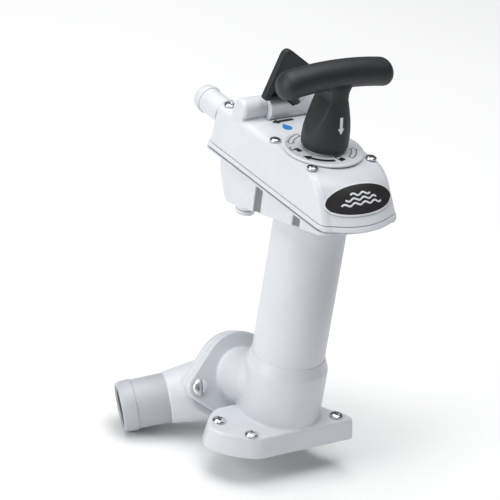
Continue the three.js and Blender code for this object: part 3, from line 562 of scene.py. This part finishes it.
def build_elbow():
    cone_profile = [(0, -12), (16, -12), (24, -2), (24.4, 8), (20.9, 33.2), (20.4, 34.2), (0, 34.2)]
    cone = lathe("cone", cone_profile, 128)
    on(ON_PIPE, cone)
    hub_profile = [(0, PLATE + 1), (26.5, PLATE + 1), (26.3, 15), (24.5, 20), (21, 26), (10, 34), (0, 36)]
    hub = lathe("hub", hub_profile, 128)
    on(FLANGE, hub)
    plate, = on(FLANGE, flange_plate(PLATE + GAP, 2 * PLATE + GAP))
    elbow = join(cone, ball(24, PIPE_ROOT, 96), hub, plate)
    front = block(-99, 99, -99, 99, -99, PLATE + GAP, FLANGE)
    clearances = [rod(7.4, 2 * PLATE + GAP, 22, FLANGE, x=side * FLANGE_BOLT, sides=48) for side in (-1, 1)]
    cut(elbow, front, *clearances)
    moulded(elbow, 0.75, 6)
    pipe_bore = rod(PORT_R, 0, PIPE_LENGTH + 1, ON_PIPE)
    cut(elbow, pipe_bore, ball(PORT_R, PIPE_ROOT), rod(PORT_R, PLATE - 1, 18, FLANGE))
    finish_piece(elbow, "elbow_body", "pump_body", WHITE, ["discharge_elbow"], 50)
    end = PIPE_LENGTH
    lip = [
        (PIPE_R - 0.25, end - 12.4), (PIPE_R - 0.2, end - 11.9), (PIPE_R + 0.55, end - 11.4),
        (PIPE_R + 0.55, end - 7), (PIPE_R + 0.1, end - 3), (PIPE_R - 0.5, end - 1),
        (PIPE_R - 0.95, end - 0.25), (PIPE_R - 1.5, end), (PORT_R + 1, end),
        (PORT_R + 0.6, end - 0.5), (PORT_R, end - 3.5),
    ]
    profile = [(PORT_R, 28), (PIPE_R - 0.2, 28), (PIPE_R - 0.2, 33.9), (PIPE_R, 34.3)] + lip + [(PORT_R, 28)]
    tail = lathe("tail", profile, 160)
    on(ON_PIPE, tail)
    # The hosetail takes the greyer white that paints its shade.
    finish_piece(tail, "discharge_hosetail", "pump_body", TAIL_PAINTED_SHADE, [], 32)
    # A dark grey sleeve inside the hosetail bore paints the shade that falls deep in the bore.
    inside = PORT_R - 0.25
    bore_shade_profile = [(inside, 20), (PORT_R + 0.5, 20), (PORT_R + 0.5, end - 1.4), (inside, end - 1.4), (inside, 20)]
    bore_shade = lathe("bore_shade", bore_shade_profile, 128)
    on(ON_PIPE, bore_shade)
    finish_piece(bore_shade, "discharge_bore_painted_shade", "pump_body", PAINTED_SHADE_GREY, [], 32)


def build_flange_fasteners():
    for index, side in enumerate((-1, 1), 1):
        seat = FLANGE @ Matrix.Translation((side * FLANGE_BOLT, 0, -GAP)) @ Matrix.Rotation(math.pi, 4, "X")
        seat = seat @ Matrix.Rotation(math.radians(side * 12 - 84), 4, "Z")
        body = screw(6.7, 3.4, 2.8, 20, True, seat)
        replaced = [f"discharge_screw_{index}"]
        finish_piece(body, f"flange_screw_{index}", "pump_body", SATIN, replaced, 30)
        nut = lathe("nut", [(3, 0), (5.4, 0), (6, 0.6), (6, 3.8), (5.4, 4.4), (3, 4.4), (3, 0)], 6)
        nut.data.transform(FLANGE @ Matrix.Translation((side * FLANGE_BOLT, 0, 2 * PLATE + 2 * GAP)))
        replaced = [f"discharge_nut_{index}"]
        finish_piece(nut, f"flange_nut_{index}", "pump_body", STEEL, replaced, 20)


# ---------------------------------------------------------------- cylinder
def build_tube():
    profile = [
        (TUBE_BORE, TUBE_FOOT), (TUBE_R, TUBE_FOOT), (TUBE_R, TUBE_END - 1), (TUBE_R - 0.3, TUBE_END - 0.2),
        (TUBE_R - 1, TUBE_END), (TUBE_BORE, TUBE_END), (TUBE_BORE, TUBE_FOOT),
    ]
    tube = lathe("tube", profile, 192)
    finish_piece(tube, "cylinder_tube", "pump_body", TUBE, ["pump_cylinder"])


# ---------------------------------------------------------------- head
RIM_TOP, SPLIT, RIM_BOTTOM, HEAD_TOP = 211.0, 207.0, 205.0, 243.0
HEAD_HALF, HEAD_REAR, RIM_OUT, TOP_EDGE_R = 35.4, 98.0, 1.5, 5.0
BEND_R, BEND_Y, SLOPE = 30.0, -21.8, 0.649
BARREL_R, BARREL_Y, BARREL_Z, BARREL_HALF, SEAM = 10.4, 65.0, 249.4, 32.6, -11.0
RIDGE_R, RIDGE_Y, RIDGE_Z = 8.6, 68.0, 249.6
LEVER_X, LEVER_FRONT, LEVER_BACK, LEVER_TANG = 12.0, 55.2, 60.8, 57.4


def head_outline(half, front, bow, rear, front_r, rear_r, steps=10):
    points = arc(half - rear_r, rear - rear_r, rear_r, 0, math.pi / 2, steps)
    points += arc(-half + rear_r, rear - rear_r, rear_r, math.pi / 2, math.pi, steps)
    points += line((-half, rear - rear_r), (-half, front + front_r), 24)[1:]
    points += arc(-half + front_r, front + front_r, front_r, math.pi, 1.5 * math.pi, steps)
    for i in range(1, 32):
        t = i / 32
        x = (-half + front_r) * (1 - t) + (half - front_r) * t
        points.append(Vector((x, front - bow * 4 * t * (1 - t))))
    points += arc(half - front_r, front + front_r, front_r, 1.5 * math.pi, 2 * math.pi, steps)
    points += line((half, front + front_r), (half, rear - rear_r), 24)[1:]
    return points


def nose_front(z):
    bend_z = HEAD_TOP - BEND_R
    tangent = math.atan(SLOPE)
    start_z = bend_z + BEND_R * math.sin(tangent)
    start_y = BEND_Y - BEND_R * math.cos(tangent)
    if z < start_z:
        return start_y - (start_z - z) * SLOPE
    return BEND_Y - math.sqrt(max(0, BEND_R**2 - (z - bend_z) ** 2))


def cover_slice(z):
    rise = (z - RIM_TOP) / (HEAD_TOP - RIM_TOP)
    edge = max(0, z - (HEAD_TOP - TOP_EDGE_R))
    shrink = TOP_EDGE_R - math.sqrt(max(0, TOP_EDGE_R**2 - edge**2))
    half = HEAD_HALF - 1.8 * rise - shrink
    bow = 8 * math.sqrt(max(0, 1 - rise))
    rear = HEAD_REAR - 1.2 * rise - shrink * 0.6
    return lift(head_outline(half, nose_front(min(z, HEAD_TOP - 0.02)), bow, rear, 7, 7), z)


def cover_body():
    levels = [SPLIT + 0.6 + i * (236 - SPLIT - 0.6) / 16 for i in range(17)]
    levels += [HEAD_TOP - TOP_EDGE_R + TOP_EDGE_R * math.sin(math.pi / 2 * i / 12) for i in range(1, 13)]
    return loft("cover", [cover_slice(z) for z in levels])


def rim_outline(proud):
    return head_outline(HEAD_HALF + proud, -57.6 - proud, 7, HEAD_REAR + proud, 8, 8)


def rim_bead(z0, z1):
    """One rounded lip of the parting rim, fullest in its middle."""
    mid, half = (z0 + z1) / 2, (z1 - z0) / 2
    rings = [lift(rim_outline(-3), z0)]
    for i in range(13):
        a = math.pi * (i / 12 - 0.5)
        rings.append(lift(rim_outline(RIM_OUT - 1.3 * (1 - math.cos(a))), mid + half * math.sin(a)))
    return loft("bead", rings + [lift(rim_outline(-3), z1)])


def along_x(y, z):
    return Matrix.Translation((0, y, z)) @ Matrix.Rotation(math.pi / 2, 4, "Y")


def along_y(x, z):
    return Matrix.Translation((x, 0, z)) @ Matrix.Rotation(-math.pi / 2, 4, "X")


def build_cover():
    cover = cover_body()
    end = -BARREL_HALF - 0.4
    round_r = 3.4
    dome = [math.pi / 2 * i / 8 for i in range(9)]
    ridge_profile = [(0, end)]
    ridge_profile += [(RIDGE_R - round_r + round_r * math.sin(a), end + round_r - round_r * math.cos(a))
                      for a in dome]
    ridge_profile += [(RIDGE_R, SEAM - GAP), (0, SEAM - GAP)]
    ridge = lathe("ridge", ridge_profile, 96, along_x(RIDGE_Y, RIDGE_Z))
    leg = block(-BARREL_HALF, SEAM - GAP, RIDGE_Y - 6.5, RIDGE_Y + 6.5, HEAD_TOP - 8, RIDGE_Z)
    shelf = block(-BARREL_HALF + 6, BARREL_HALF - 4, BARREL_Y - 6, BARREL_Y + 11,
                  HEAD_TOP - 6, HEAD_TOP + 0.2)
    join(cover, ridge, leg, shelf)
    bed = rod(BARREL_R + GAP, SEAM - GAP, 60, along_x(BARREL_Y, BARREL_Z), sides=96)
    cut(cover, bed)
    moulded(cover, 0.6, 4)
    spigot = rod(8.9, 90, 110, along_y(-20, 231))
    foot = cover_slice(RIM_TOP + 0.4)
    groove = loft("groove", [lift(inset(foot, -8), z) for z in (RIM_TOP - 0.05, RIM_TOP + 0.75)])
    cut(groove, loft("inner", [lift(inset(foot, 1.4), z) for z in (RIM_TOP - 1, RIM_TOP + 2)]))
    cut(cover, rod(15.3, HEAD_TOP - 12, HEAD_TOP + 2, sides=96), spigot, groove)
    finish_piece(cover, "cover_shell", "pump_body", WHITE, ["head_cover"], 50)
    finish_piece(rim_bead(SPLIT + 0.6, RIM_TOP), "cover_rim", "pump_body", TURNED, [], 35)


WEDGE_FRONT, WEDGE_REAR = (-56, 202.6), (64, 172.6)
PLUG = (-26.3, 48.6)
CHANNELS, CHANNEL_HALF = (-23.5, 26.0), 4.6
PLUG_TOP = 174.1


def wedge_bottom(y):
    (y0, z0), (y1, z1) = WEDGE_FRONT, WEDGE_REAR
    return z0 + (y - y0) * (z1 - z0) / (y1 - y0)


def build_housing():
    side = [WEDGE_FRONT, WEDGE_REAR, (68, 174.5), (83, 203.6), (83, 206), (-56, 206)]
    slab = loft("housing", [[Vector((x, y, z)) for y, z in side] for x in (-40, 40)])
    plan = loft("plan", [lift(head_outline(half, -56.5, 6, 84, 6, 8), z)
                         for z, half in ((165, 32.6), (206, 34.2))])
    combine(slab, "INTERSECT", plan)
    for y in CHANNELS:
        for x0, x1 in ((26, 45), (-45, -26)):
            cut(slab, block(x0, x1, y - CHANNEL_HALF, y + CHANNEL_HALF, 150, RIM_BOTTOM - 0.6))
    boss = rod(7.3, PLUG_TOP + GAP, 184, x=PLUG[0], y=PLUG[1])
    join(slab, boss)
    moulded(slab, 0.55, 2)
    cut(slab, rod(29.0, 150, 197.3, sides=160), rod(6.3, 150, 186, x=PLUG[0], y=PLUG[1]))
    finish_piece(slab, "housing_shell", "pump_body", WHITE, ["head_housing"], 50)
    rim = rim_bead(RIM_BOTTOM, SPLIT - 0.6)
    finish_piece(rim, "housing_rim", "pump_body", TURNED, [], 35)
    # Dark grey blocks set in the four screw channels paint the shade that falls deep in them.
    for index, (x, y) in enumerate([(x, y) for x in (-28.2, 28.2) for y in CHANNELS], 1):
        near, far, top = y - CHANNEL_HALF, y + CHANNEL_HALF, RIM_BOTTOM - 1
        low, high = wedge_bottom(near) + 0.5, wedge_bottom(far) + 0.5
        channel_shade_side = [(near, low), (far, high), (far, top), (near, top)]
        channel_shade = loft("channel_shade", [[Vector((x + dx, py, pz)) for py, pz in channel_shade_side] for dx in (-4, 4)])
        finish_piece(channel_shade, f"channel_painted_shade_{index}", "pump_body", PAINTED_SHADE_GREY, [], 40)
    gasket = loft("gasket", [lift(rim_outline(RIM_OUT - 1.5), z) for z in (SPLIT - 0.5, SPLIT + 0.5)])
    finish_piece(gasket, "head_seal", "pump_body", SEAL_GREY, ["head_gasket"], 35)


def build_plug():
    x, y = PLUG
    rings = [(0, -3.9), (6.4, -3.9), (7.3, -3.4), (7.8, -2.4), (7.8, -0.5), (7.4, 0), (6, 0)]
    profile = [(r, PLUG_TOP + z) for r, z in rings] + [(6, 184), (0, 184)]
    plug = lathe("plug", profile, 64, Matrix.Translation((x, y, 0)))
    cut(plug, block(x - 5, x + 5, y - 0.8, y + 0.8, PLUG_TOP - 5, PLUG_TOP - 2.6))
    finish_piece(plug, "vent_plug_looks", "pump_body", TURNED, ["vent_plug"], 32)


def build_intake():
    r, end = 10.6, 129
    neck = r - 0.5
    profile = [
        (7.2, 91), (8.6, 91), (8.6, 97.8), (r + 0.6, 97.8), (r + 0.6, 99.4), (r + 0.3, 100), (neck, 100.4),
        (neck, end - 7.6), (r + 0.3, end - 7.2), (r + 0.6, end - 6.6), (r + 0.6, end - 4.6),
        (r - 0.2, end - 0.7), (r - 0.8, end), (7.9, end), (7.2, end - 0.8), (7.2, 91),
    ]
    tail = lathe("tail", profile, 96, along_y(-20, 231))
    finish_piece(tail, "intake_tail", "pump_body", TURNED, ["intake_hosetail"], 32)


def build_dial():
    top = HEAD_TOP + 2.4
    base = HEAD_TOP + GAP
    profile = [
        (5.3, 224), (15, 224), (15, base), (30.9, base), (31.35, base + 0.4), (31.45, base + 0.9),
        (31.2, top - 0.7), (30.6, top - 0.2), (29.8, top), (28.9, top), (28.3, top - 0.15),
        (27.9, top - 0.5), (27.4, top - 0.6), (14.2, top - 0.6), (13.6, top + 3.4), (12.6, top + 4.2),
        (5.3, top + 4.2), (5.3, 224),
    ]
    dial = lathe("dial", profile, 192)
    finish_piece(dial, "dial_ring", "pump_body", TURNED, ["seal_housing"], 32)


# ---------------------------------------------------------------- lever and barrel
def build_barrel():
    half = BARREL_HALF - 0.6
    profile = [
        (0, SEAM), (BARREL_R - 0.5, SEAM), (BARREL_R, SEAM + 0.5), (BARREL_R, half - 1.2),
        (BARREL_R - 0.35, half - 0.35), (BARREL_R - 1.2, half), (0, half),
    ]
    barrel = lathe("barrel", profile, 96, along_x(BARREL_Y, BARREL_Z))
    vee = [(-3.2, 3.4), (3.2, 3.4), (7.6, 7.6), (10, 12), (-10, 12), (-7.6, 7.6)]
    back = LEVER_BACK + 0.6
    rings = [[Vector((LEVER_X + x, y, BARREL_Z + z)) for x, z in vee] for y in (back, LEVER_BACK - 12)]
    pocket = block(LEVER_X - 5.3, LEVER_X + 5.3, LEVER_TANG - 0.5, back, BARREL_Z - 5, BARREL_Z + 6)
    cut(barrel, loft("vee", rings), pocket)
    finish_piece(barrel, "barrel_cap", "pump_body", TURNED, ["lever_barrel"], 32)
    pin = rod(1.6, LEVER_TANG - 0.9, BARREL_Y + 9, along_y(LEVER_X, BARREL_Z), sides=32)
    finish_piece(pin, "lever_pin_looks", "pump_body", STEEL, ["lever_pin"])


def lever_outline():
    half = line((1, 4.2), (3, 7.8), 4)
    half += line((3, 7.8), (4.4, 10.6), 4)
    half += corner((4.4, 10.6), (5.6, 12.6), (8, 13.4), 8)
    half += line((8, 13.4), (22, 18.4), 8)
    half += corner((22, 18.4), (27.4, 20.2), (25.1, 23.1), 10)
    half += line((25.1, 23.1), (5.4, 50.2), 12)
    half += corner((5.4, 50.2), (0, 57.4), (-5.4, 50.2), 14)[:7] + [Vector((0, 53.8))]
    return half + [Vector((-p.x, p.y)) for p in half[-2::-1]]


def build_lever():
    thick, depth = LEVER_BACK - LEVER_FRONT, LEVER_BACK - LEVER_TANG
    paddle = rounded_slab("lever", lever_outline(), 0, thick, 0.8)
    join(paddle, rod(4.5, 0, depth), block(-2.8, 2.8, 0, 9, 0, depth))
    dish = [(-20.5, 20.4), (-8, 16.6), (-13.4, 31)]
    middle = Vector((-14, 22.7))
    levels = ((thick - 3.8, 0.86), (thick + 0.5, 1.02))
    rings = [[Vector((*(middle + (Vector(p) - middle) * k), z)) for p in dish] for z, k in levels]
    cut(paddle, loft("dish", rings))
    moulded(paddle, 0.35, 3)
    cut(paddle, rod(1.9, -1, thick + 1, sides=48))
    upright = Matrix(((1, 0, 0), (0, 0, -1), (0, 1, 0))).to_4x4()
    lean = Matrix.Rotation(math.radians(-17.5), 4, "Y")
    paddle.data.transform(Matrix.Translation((LEVER_X, LEVER_BACK, BARREL_Z)) @ lean @ upright)
    finish_piece(paddle, "lever_paddle", "lever_body", BLACK, ["flush_lever"], 50)


# ---------------------------------------------------------------- handle
GRIP_HALF, GRIP_R, GRIP_Z, GRIP_DROOP = 51.8, 11.2, 306.0, 4.8


def oval(a, b, z, count=72):
    turns = [2 * math.pi * i / count for i in range(count)]
    return [Vector((a * math.cos(t), b * math.sin(t), z)) for t in turns]


def grip():
    bend = GRIP_HALF**2 / (2 * GRIP_DROOP)
    dome = GRIP_R * 0.86
    steps = [-1 + 2 * i / 60 for i in range(61)]
    steps = sorted(steps + [s * k for s in (-1, 1) for k in (0.985, 0.995, 0.975, 0.955)])
    rings = []
    for step in steps:
        x = step * GRIP_HALF
        past = max(0, abs(x) - (GRIP_HALF - dome)) / dome
        r = max(0.6, GRIP_R * math.sqrt(max(0, 1 - past**2.2)))
        drop = bend - math.sqrt(bend**2 - x**2)
        rings.append([p + Vector((drop, 0, 0)) for p in oval(r, r, x)])
    obj = loft("grip", rings)
    obj.data.transform(along_x(0, GRIP_Z))
    return obj


STEM = [(246.2, 16.2, 16.2), (247, 17, 17), (248.4, 17.8, 17.8), (251, 18.3, 18.3), (256, 18.3, 18.3),
        (262, 18, 18), (269, 17, 17), (276, 15.6, 15.6), (283, 14.2, 14.2), (289, 13, 13), (294, 14, 12.3),
        (299, 20, 11.4), (305, 26, 9)]
STEM_SIDE = [(240, 19), (256, 18.6), (262, 17.3), (269, 15), (276, 12.2), (283, 9.8), (288, 8.2), (292, 7.7),
             (296, 8.6), (300, 11.4), (303, 16), (307, 24)]


def build_handle():
    stem = loft("stem", [oval(a, b, z) for z, a, b in STEM])
    side = [(half, z) for z, half in STEM_SIDE]
    side += [(-x, z) for x, z in reversed(side)]
    waist = loft("waist", [[Vector((x, y, z)) for x, z in side] for y in (-40, 40)])
    combine(stem, "INTERSECT", waist)
    join(stem, grip())
    moulded(stem, 0.6, 4)
    cut(stem, rod(14.6, 240, 250.6, sides=96), rod(5.3, 240, 296.3))
    finish_piece(stem, "handle_grip", "handle_body", BLACK, ["handle"], 50)
    return stem


def build_rod():
    profile = [
        (0, 37.5), (3.8, 37.5), (4, 38), (4, 42.4), (5, 42.5), (5, 61.3), (8, 61.3), (8, 63.4),
        (5, 63.4), (5, 295), (4, 296), (0, 296),
    ]
    shaft = lathe("rod", profile, 64)
    finish_piece(shaft, "pump_rod", "handle_body", ROD_STEEL, ["piston_rod"], 32)


# ---------------------------------------------------------------- printed marks and badge
def strip(name, left, right, z, height):
    """A band between two lines that run side by side, as a thin closed solid."""
    count = len(left)
    verts = [Vector((p.x, p.y, h)) for h in (z, z + height) for line_ in (left, right) for p in line_]
    faces = []
    for i in range(count - 1):
        a, b, c, d = i, i + 1, count + i + 1, count + i
        top = 2 * count
        faces += [(a, b, c, d), (d + top, c + top, b + top, a + top)]
        faces += [(a, a + top, b + top, b), (d, c, c + top, d + top)]
    for i in (0, count - 1):
        faces.append((i, count + i, 3 * count + i, 2 * count + i))
    return new_object(name, verts, faces)


def slab_mark(name, outlines, z, material, body="pump_body", height=0.1, strips=()):
    """Flat printed shapes, closed outlines or bands between two lines, a hair above a level face."""
    objs = [loft(name, [lift(points, z), lift(points, z + height)]) for points in outlines]
    objs += [strip(name, left, right, z, height) for left, right in strips]
    merged = merge(objs)
    return finish_piece(merged, name, body, material, [], 40)


def sides_of(points, width):
    """The two lines half a width either side of an open line."""
    left, right = [], []
    for i, p in enumerate(points):
        ahead, behind = points[min(i + 1, len(points) - 1)], points[max(i - 1, 0)]
        along = (ahead - behind).normalized()
        side = Vector((-along.y, along.x)) * width / 2
        left.append(p + side)
        right.append(p - side)
    return left, right


def merge(objs):
    bm = bmesh.new()
    for obj in objs:
        bm.from_mesh(obj.data)
        if obj is not objs[0]:
            bpy.data.objects.remove(obj)
    bm.to_mesh(objs[0].data)
    bm.free()
    return objs[0]


def ribbon(points, width):
    """A closed outline round an open line of points."""
    left, right = sides_of(points, width)
    return right + left[::-1]


def arrow_outline(points, width, head_width, head_length):
    """A ribbon whose last stretch is an arrow head."""
    tip = points[-1]
    along = (points[-1] - points[-2]).normalized()
    neck = tip - along * head_length
    kept = [p for p in points if (p - tip).length > head_length] + [neck]
    shaft = ribbon(kept, width)
    side = Vector((-along.y, along.x)) * head_width / 2
    half = len(shaft) // 2
    return shaft[:half] + [neck - side, tip, neck + side] + shaft[half:]


def polar(r, start, stop, steps=24):
    return arc(0, 0, r, math.radians(start), math.radians(stop), steps)


def turned_shape(points, centre, angle):
    c, s = math.cos(angle), math.sin(angle)
    return [Vector((centre[0] + p[0] * c - p[1] * s, centre[1] + p[0] * s + p[1] * c)) for p in points]


def padlock(centre, angle, open_):
    """A plain padlock: its body outline and the two lines of its hoop."""
    body = turned_shape([(-2.9, -2.9), (2.9, -2.9), (2.9, 1), (-2.9, 1)], centre, angle)
    shift = 3.4 if open_ else 0
    turns = [math.pi - math.pi * i / 12 for i in range(13)]
    hoop = [(shift - 1.8, 0.8)] + [(shift + 1.8 * math.cos(a), 2.8 + 1.8 * math.sin(a)) for a in turns]
    hoop.append((shift + 1.8, 1.6 if open_ else 0.8))
    return body, sides_of(turned_shape(hoop, centre, angle), 1.0)


def pointed_band(r0, r1, start, stop):
    """The outline strip of a curved band that ends in a point."""
    step = 8 if stop > start else -8
    tip = polar((r0 + r1) / 2, stop + step, stop + step, 1)[0]
    flare_in, flare_out = polar(r0 - 1, stop, stop, 1)[0], polar(r1 + 1, stop, stop, 1)[0]
    path = polar(r0, start, stop) + [flare_in, tip, flare_out] + polar(r1, stop, start)
    path += polar(r0, start, start, 1)[:1]
    return sides_of(path, 0.6)


def build_dial_print():
    z = HEAD_TOP + 1.84
    closed_body, closed_hoop = padlock((1.8, -20.4), 0.35, False)
    open_body, open_hoop = padlock((-22.4, 2.6), 1.7, True)
    radii = [21.6 + 2 * i / 30 for i in range(31)]
    curve = [p * (r / 22) for p, r in zip(polar(22, -101, -150, 30), radii)]
    end, along = curve[-1], (curve[-1] - curve[-2]).normalized()
    side = Vector((-along.y, along.x))
    head = [end - side * 3.8, end + along * 6, end + side * 3.8]
    slab_mark("dial_marks", [closed_body, open_body, head], z, BLACK_INK, "pump_body", 0.14,
              [closed_hoop, open_hoop, sides_of(curve, 3.2)])
    bands = [pointed_band(23.2, 26.8, 104, 140), pointed_band(21.4, 25.2, -62, -26)]
    slab_mark("dial_bands", [], z, BLACK_INK, "pump_body", 0.14, bands)


def build_top_label():
    """A plain water drop beside a plain arrow."""
    z = HEAD_TOP + 0.06
    middle = Vector((-4.4, 41))
    bulb = arc(0, 0, 3.8, math.radians(150), math.radians(390), 28)
    drop = [middle + Vector((0, 6.6))] + [middle + p for p in bulb]
    slab_mark("label_drop", [drop], z, BLUE_INK, height=0.2)
    arrow = arrow_outline([Vector((8.6, 52.4)), Vector((0, 52.2)), Vector((-11, 52))], 3, 6.8, 5.4)
    slab_mark("label_arrow", [arrow], z, BLACK_INK, height=0.2)


def draped(name, points, frame_matrix, target, lift_by, thickness, material, body, cells=1.2):
    """Drops a flat outline along its -Z on to a target's skin and gives it thickness."""
    bm = bmesh.new()
    face = bm.faces.new([bm.verts.new((p.x, p.y, 0)) for p in points])
    lows = [min(p[i] for p in points) for i in (0, 1)]
    highs = [max(p[i] for p in points) for i in (0, 1)]
    for axis in (0, 1):
        at = lows[axis] + cells
        while at < highs[axis]:
            co, no = Vector((0, 0, 0)), Vector((0, 0, 0))
            co[axis], no[axis] = at, 1
            geometry = bm.verts[:] + bm.edges[:] + bm.faces[:]
            bmesh.ops.bisect_plane(bm, geom=geometry, plane_co=co, plane_no=no, dist=1e-4)
            at += cells
    tree = BVHTree.FromObject(target, bpy.context.evaluated_depsgraph_get())
    bm.transform(frame_matrix)
    down = -(frame_matrix.to_3x3() @ Vector((0, 0, 1)))
    for vert in bm.verts:
        start = vert.co - down * 40
        hit, normal, _, _ = tree.ray_cast(start * MM, down)
        if hit is not None:
            vert.co = hit / MM + normal * lift_by
    bmesh.ops.solidify(bm, geom=bm.faces[:], thickness=thickness)
    bmesh.ops.recalc_face_normals(bm, faces=bm.faces)
    mesh = bpy.data.meshes.new(name)
    bm.to_mesh(mesh)
    bm.free()
    obj = bpy.data.objects.new(name, mesh)
    bpy.context.scene.collection.objects.link(obj)
    return finish_piece(obj, name, body, material, [], 50)


def build_badge():
    cover = bpy.data.objects["cover_shell"]
    slope = math.atan(SLOPE)
    outward = Vector((0, -math.cos(slope), math.sin(slope)))
    up = outward.cross(Vector((1, 0, 0)))
    place = Matrix.Translation((0, -53, 227)) @ Matrix((Vector((1, 0, 0)), up, outward)).transposed().to_4x4()
    edge = [p.to_2d() for p in oval(31, 12.2, 0, 96)]
    white = draped("badge_border", edge, place, cover, 0.9, 0.8, PALE_INK, "pump_body")
    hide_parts("badge_plate")
    face = [p.to_2d() for p in oval(30, 11.2, 0, 96)]
    draped("badge_face", face, place, cover, 1.0, 0.3, BADGE_BLACK, "pump_body")
    for index, (height, half) in enumerate(((4.2, 9.0), (0.6, 14.0), (-3.0, 18.0))):
        xs = [half * (i / 30 - 1) for i in range(61)]
        wave = ribbon([Vector((x, height + 0.9 * math.sin(x * 0.7))) for x in xs], 1.3)
        name = f"badge_wave_{index + 1}"
        draped(name, wave, place, cover, 1.15, 0.2, PALE_INK, "pump_body", 2)


def build_stem_arrow(handle):
    place = Matrix.Translation((0, -30, 270.6)) @ Matrix(((1, 0, 0), (0, 0, -1), (0, 1, 0))).to_4x4()
    arrow = arrow_outline([Vector((0, 6.4)), Vector((0, 0)), Vector((0, -6.4))], 2.6, 5.4, 4.4)
    draped("stem_arrow", arrow, place, handle, 0.12, 0.3, PALE_INK, "handle_body")


# ---------------------------------------------------------------- stage
def area_light(name, location, target, size, power, colour=(1, 1, 1)):
    data = bpy.data.lights.new(name, "AREA")
    data.shape = "SQUARE"
    data.size = size
    data.energy = power
    data.color = colour
    light = bpy.data.objects.new(name, data)
    light.location = location
    aim = Vector(target) - Vector(location)
    light.rotation_euler = aim.to_track_quat("-Z", "Y").to_euler()
    bpy.context.scene.collection.objects.link(light)


def build_stage():
    floor_z = cad_box[0][2] / MM - 0.4
    reach = 9000
    corners = [(-reach, -reach), (reach, -reach), (reach, reach), (-reach, reach)]
    floor = new_object("floor", [(x, y, floor_z) for x, y in corners], [(0, 1, 2, 3)])
    floor.data.transform(Matrix.Scale(MM, 4))
    material, tree, shader = nodes_of("studio_floor")
    tone = ramp(tree, noise(tree, 3, 2, 0.5), [(0.3, (0.93, 0.93, 0.93)), (0.7, (0.95, 0.95, 0.95))])
    tree.links.new(tone, shader.inputs["Base Color"])
    shader.inputs["Roughness"].default_value = 0.9
    shader.inputs["Specular IOR Level"].default_value = 0.1
    floor.data.materials.append(material)
    world = bpy.data.worlds.new("studio")
    bpy.context.scene.world = world
    world.use_nodes = True
    background = world.node_tree.nodes["Background"]
    background.inputs["Color"].default_value = (0.93, 0.965, 1.0, 1)
    background.inputs["Strength"].default_value = 0.14
    middle = (-0.03, 0.0, 0.16)
    area_light("top", (-0.1, 0.2, 2.4), middle, 2.4, 68)
    area_light("key", (-2.3, 0.1, 1.1), middle, 1.3, 28, (1.0, 0.997, 0.99))
    bpy.context.scene.view_settings.view_transform = "Standard"


make_camera()
dress_cad_nodes()
build_base()
build_elbow()
build_flange_fasteners()
build_tube()
build_cover()
build_housing()
build_plug()
build_intake()
build_dial()
build_barrel()
build_lever()
handle = build_handle()
build_rod()
for number in range(1, 5):
    place_cross_screw(f"base_screw_{number}", 5.5, 2.6, 0.5 + number)
for number in range(1, 7):
    place_cross_screw(f"cover_screw_{number}", 4.5, 2.3, 0.3 + number)
build_dial_print()
build_top_label()
build_badge()
build_stem_arrow(handle)
build_stage()
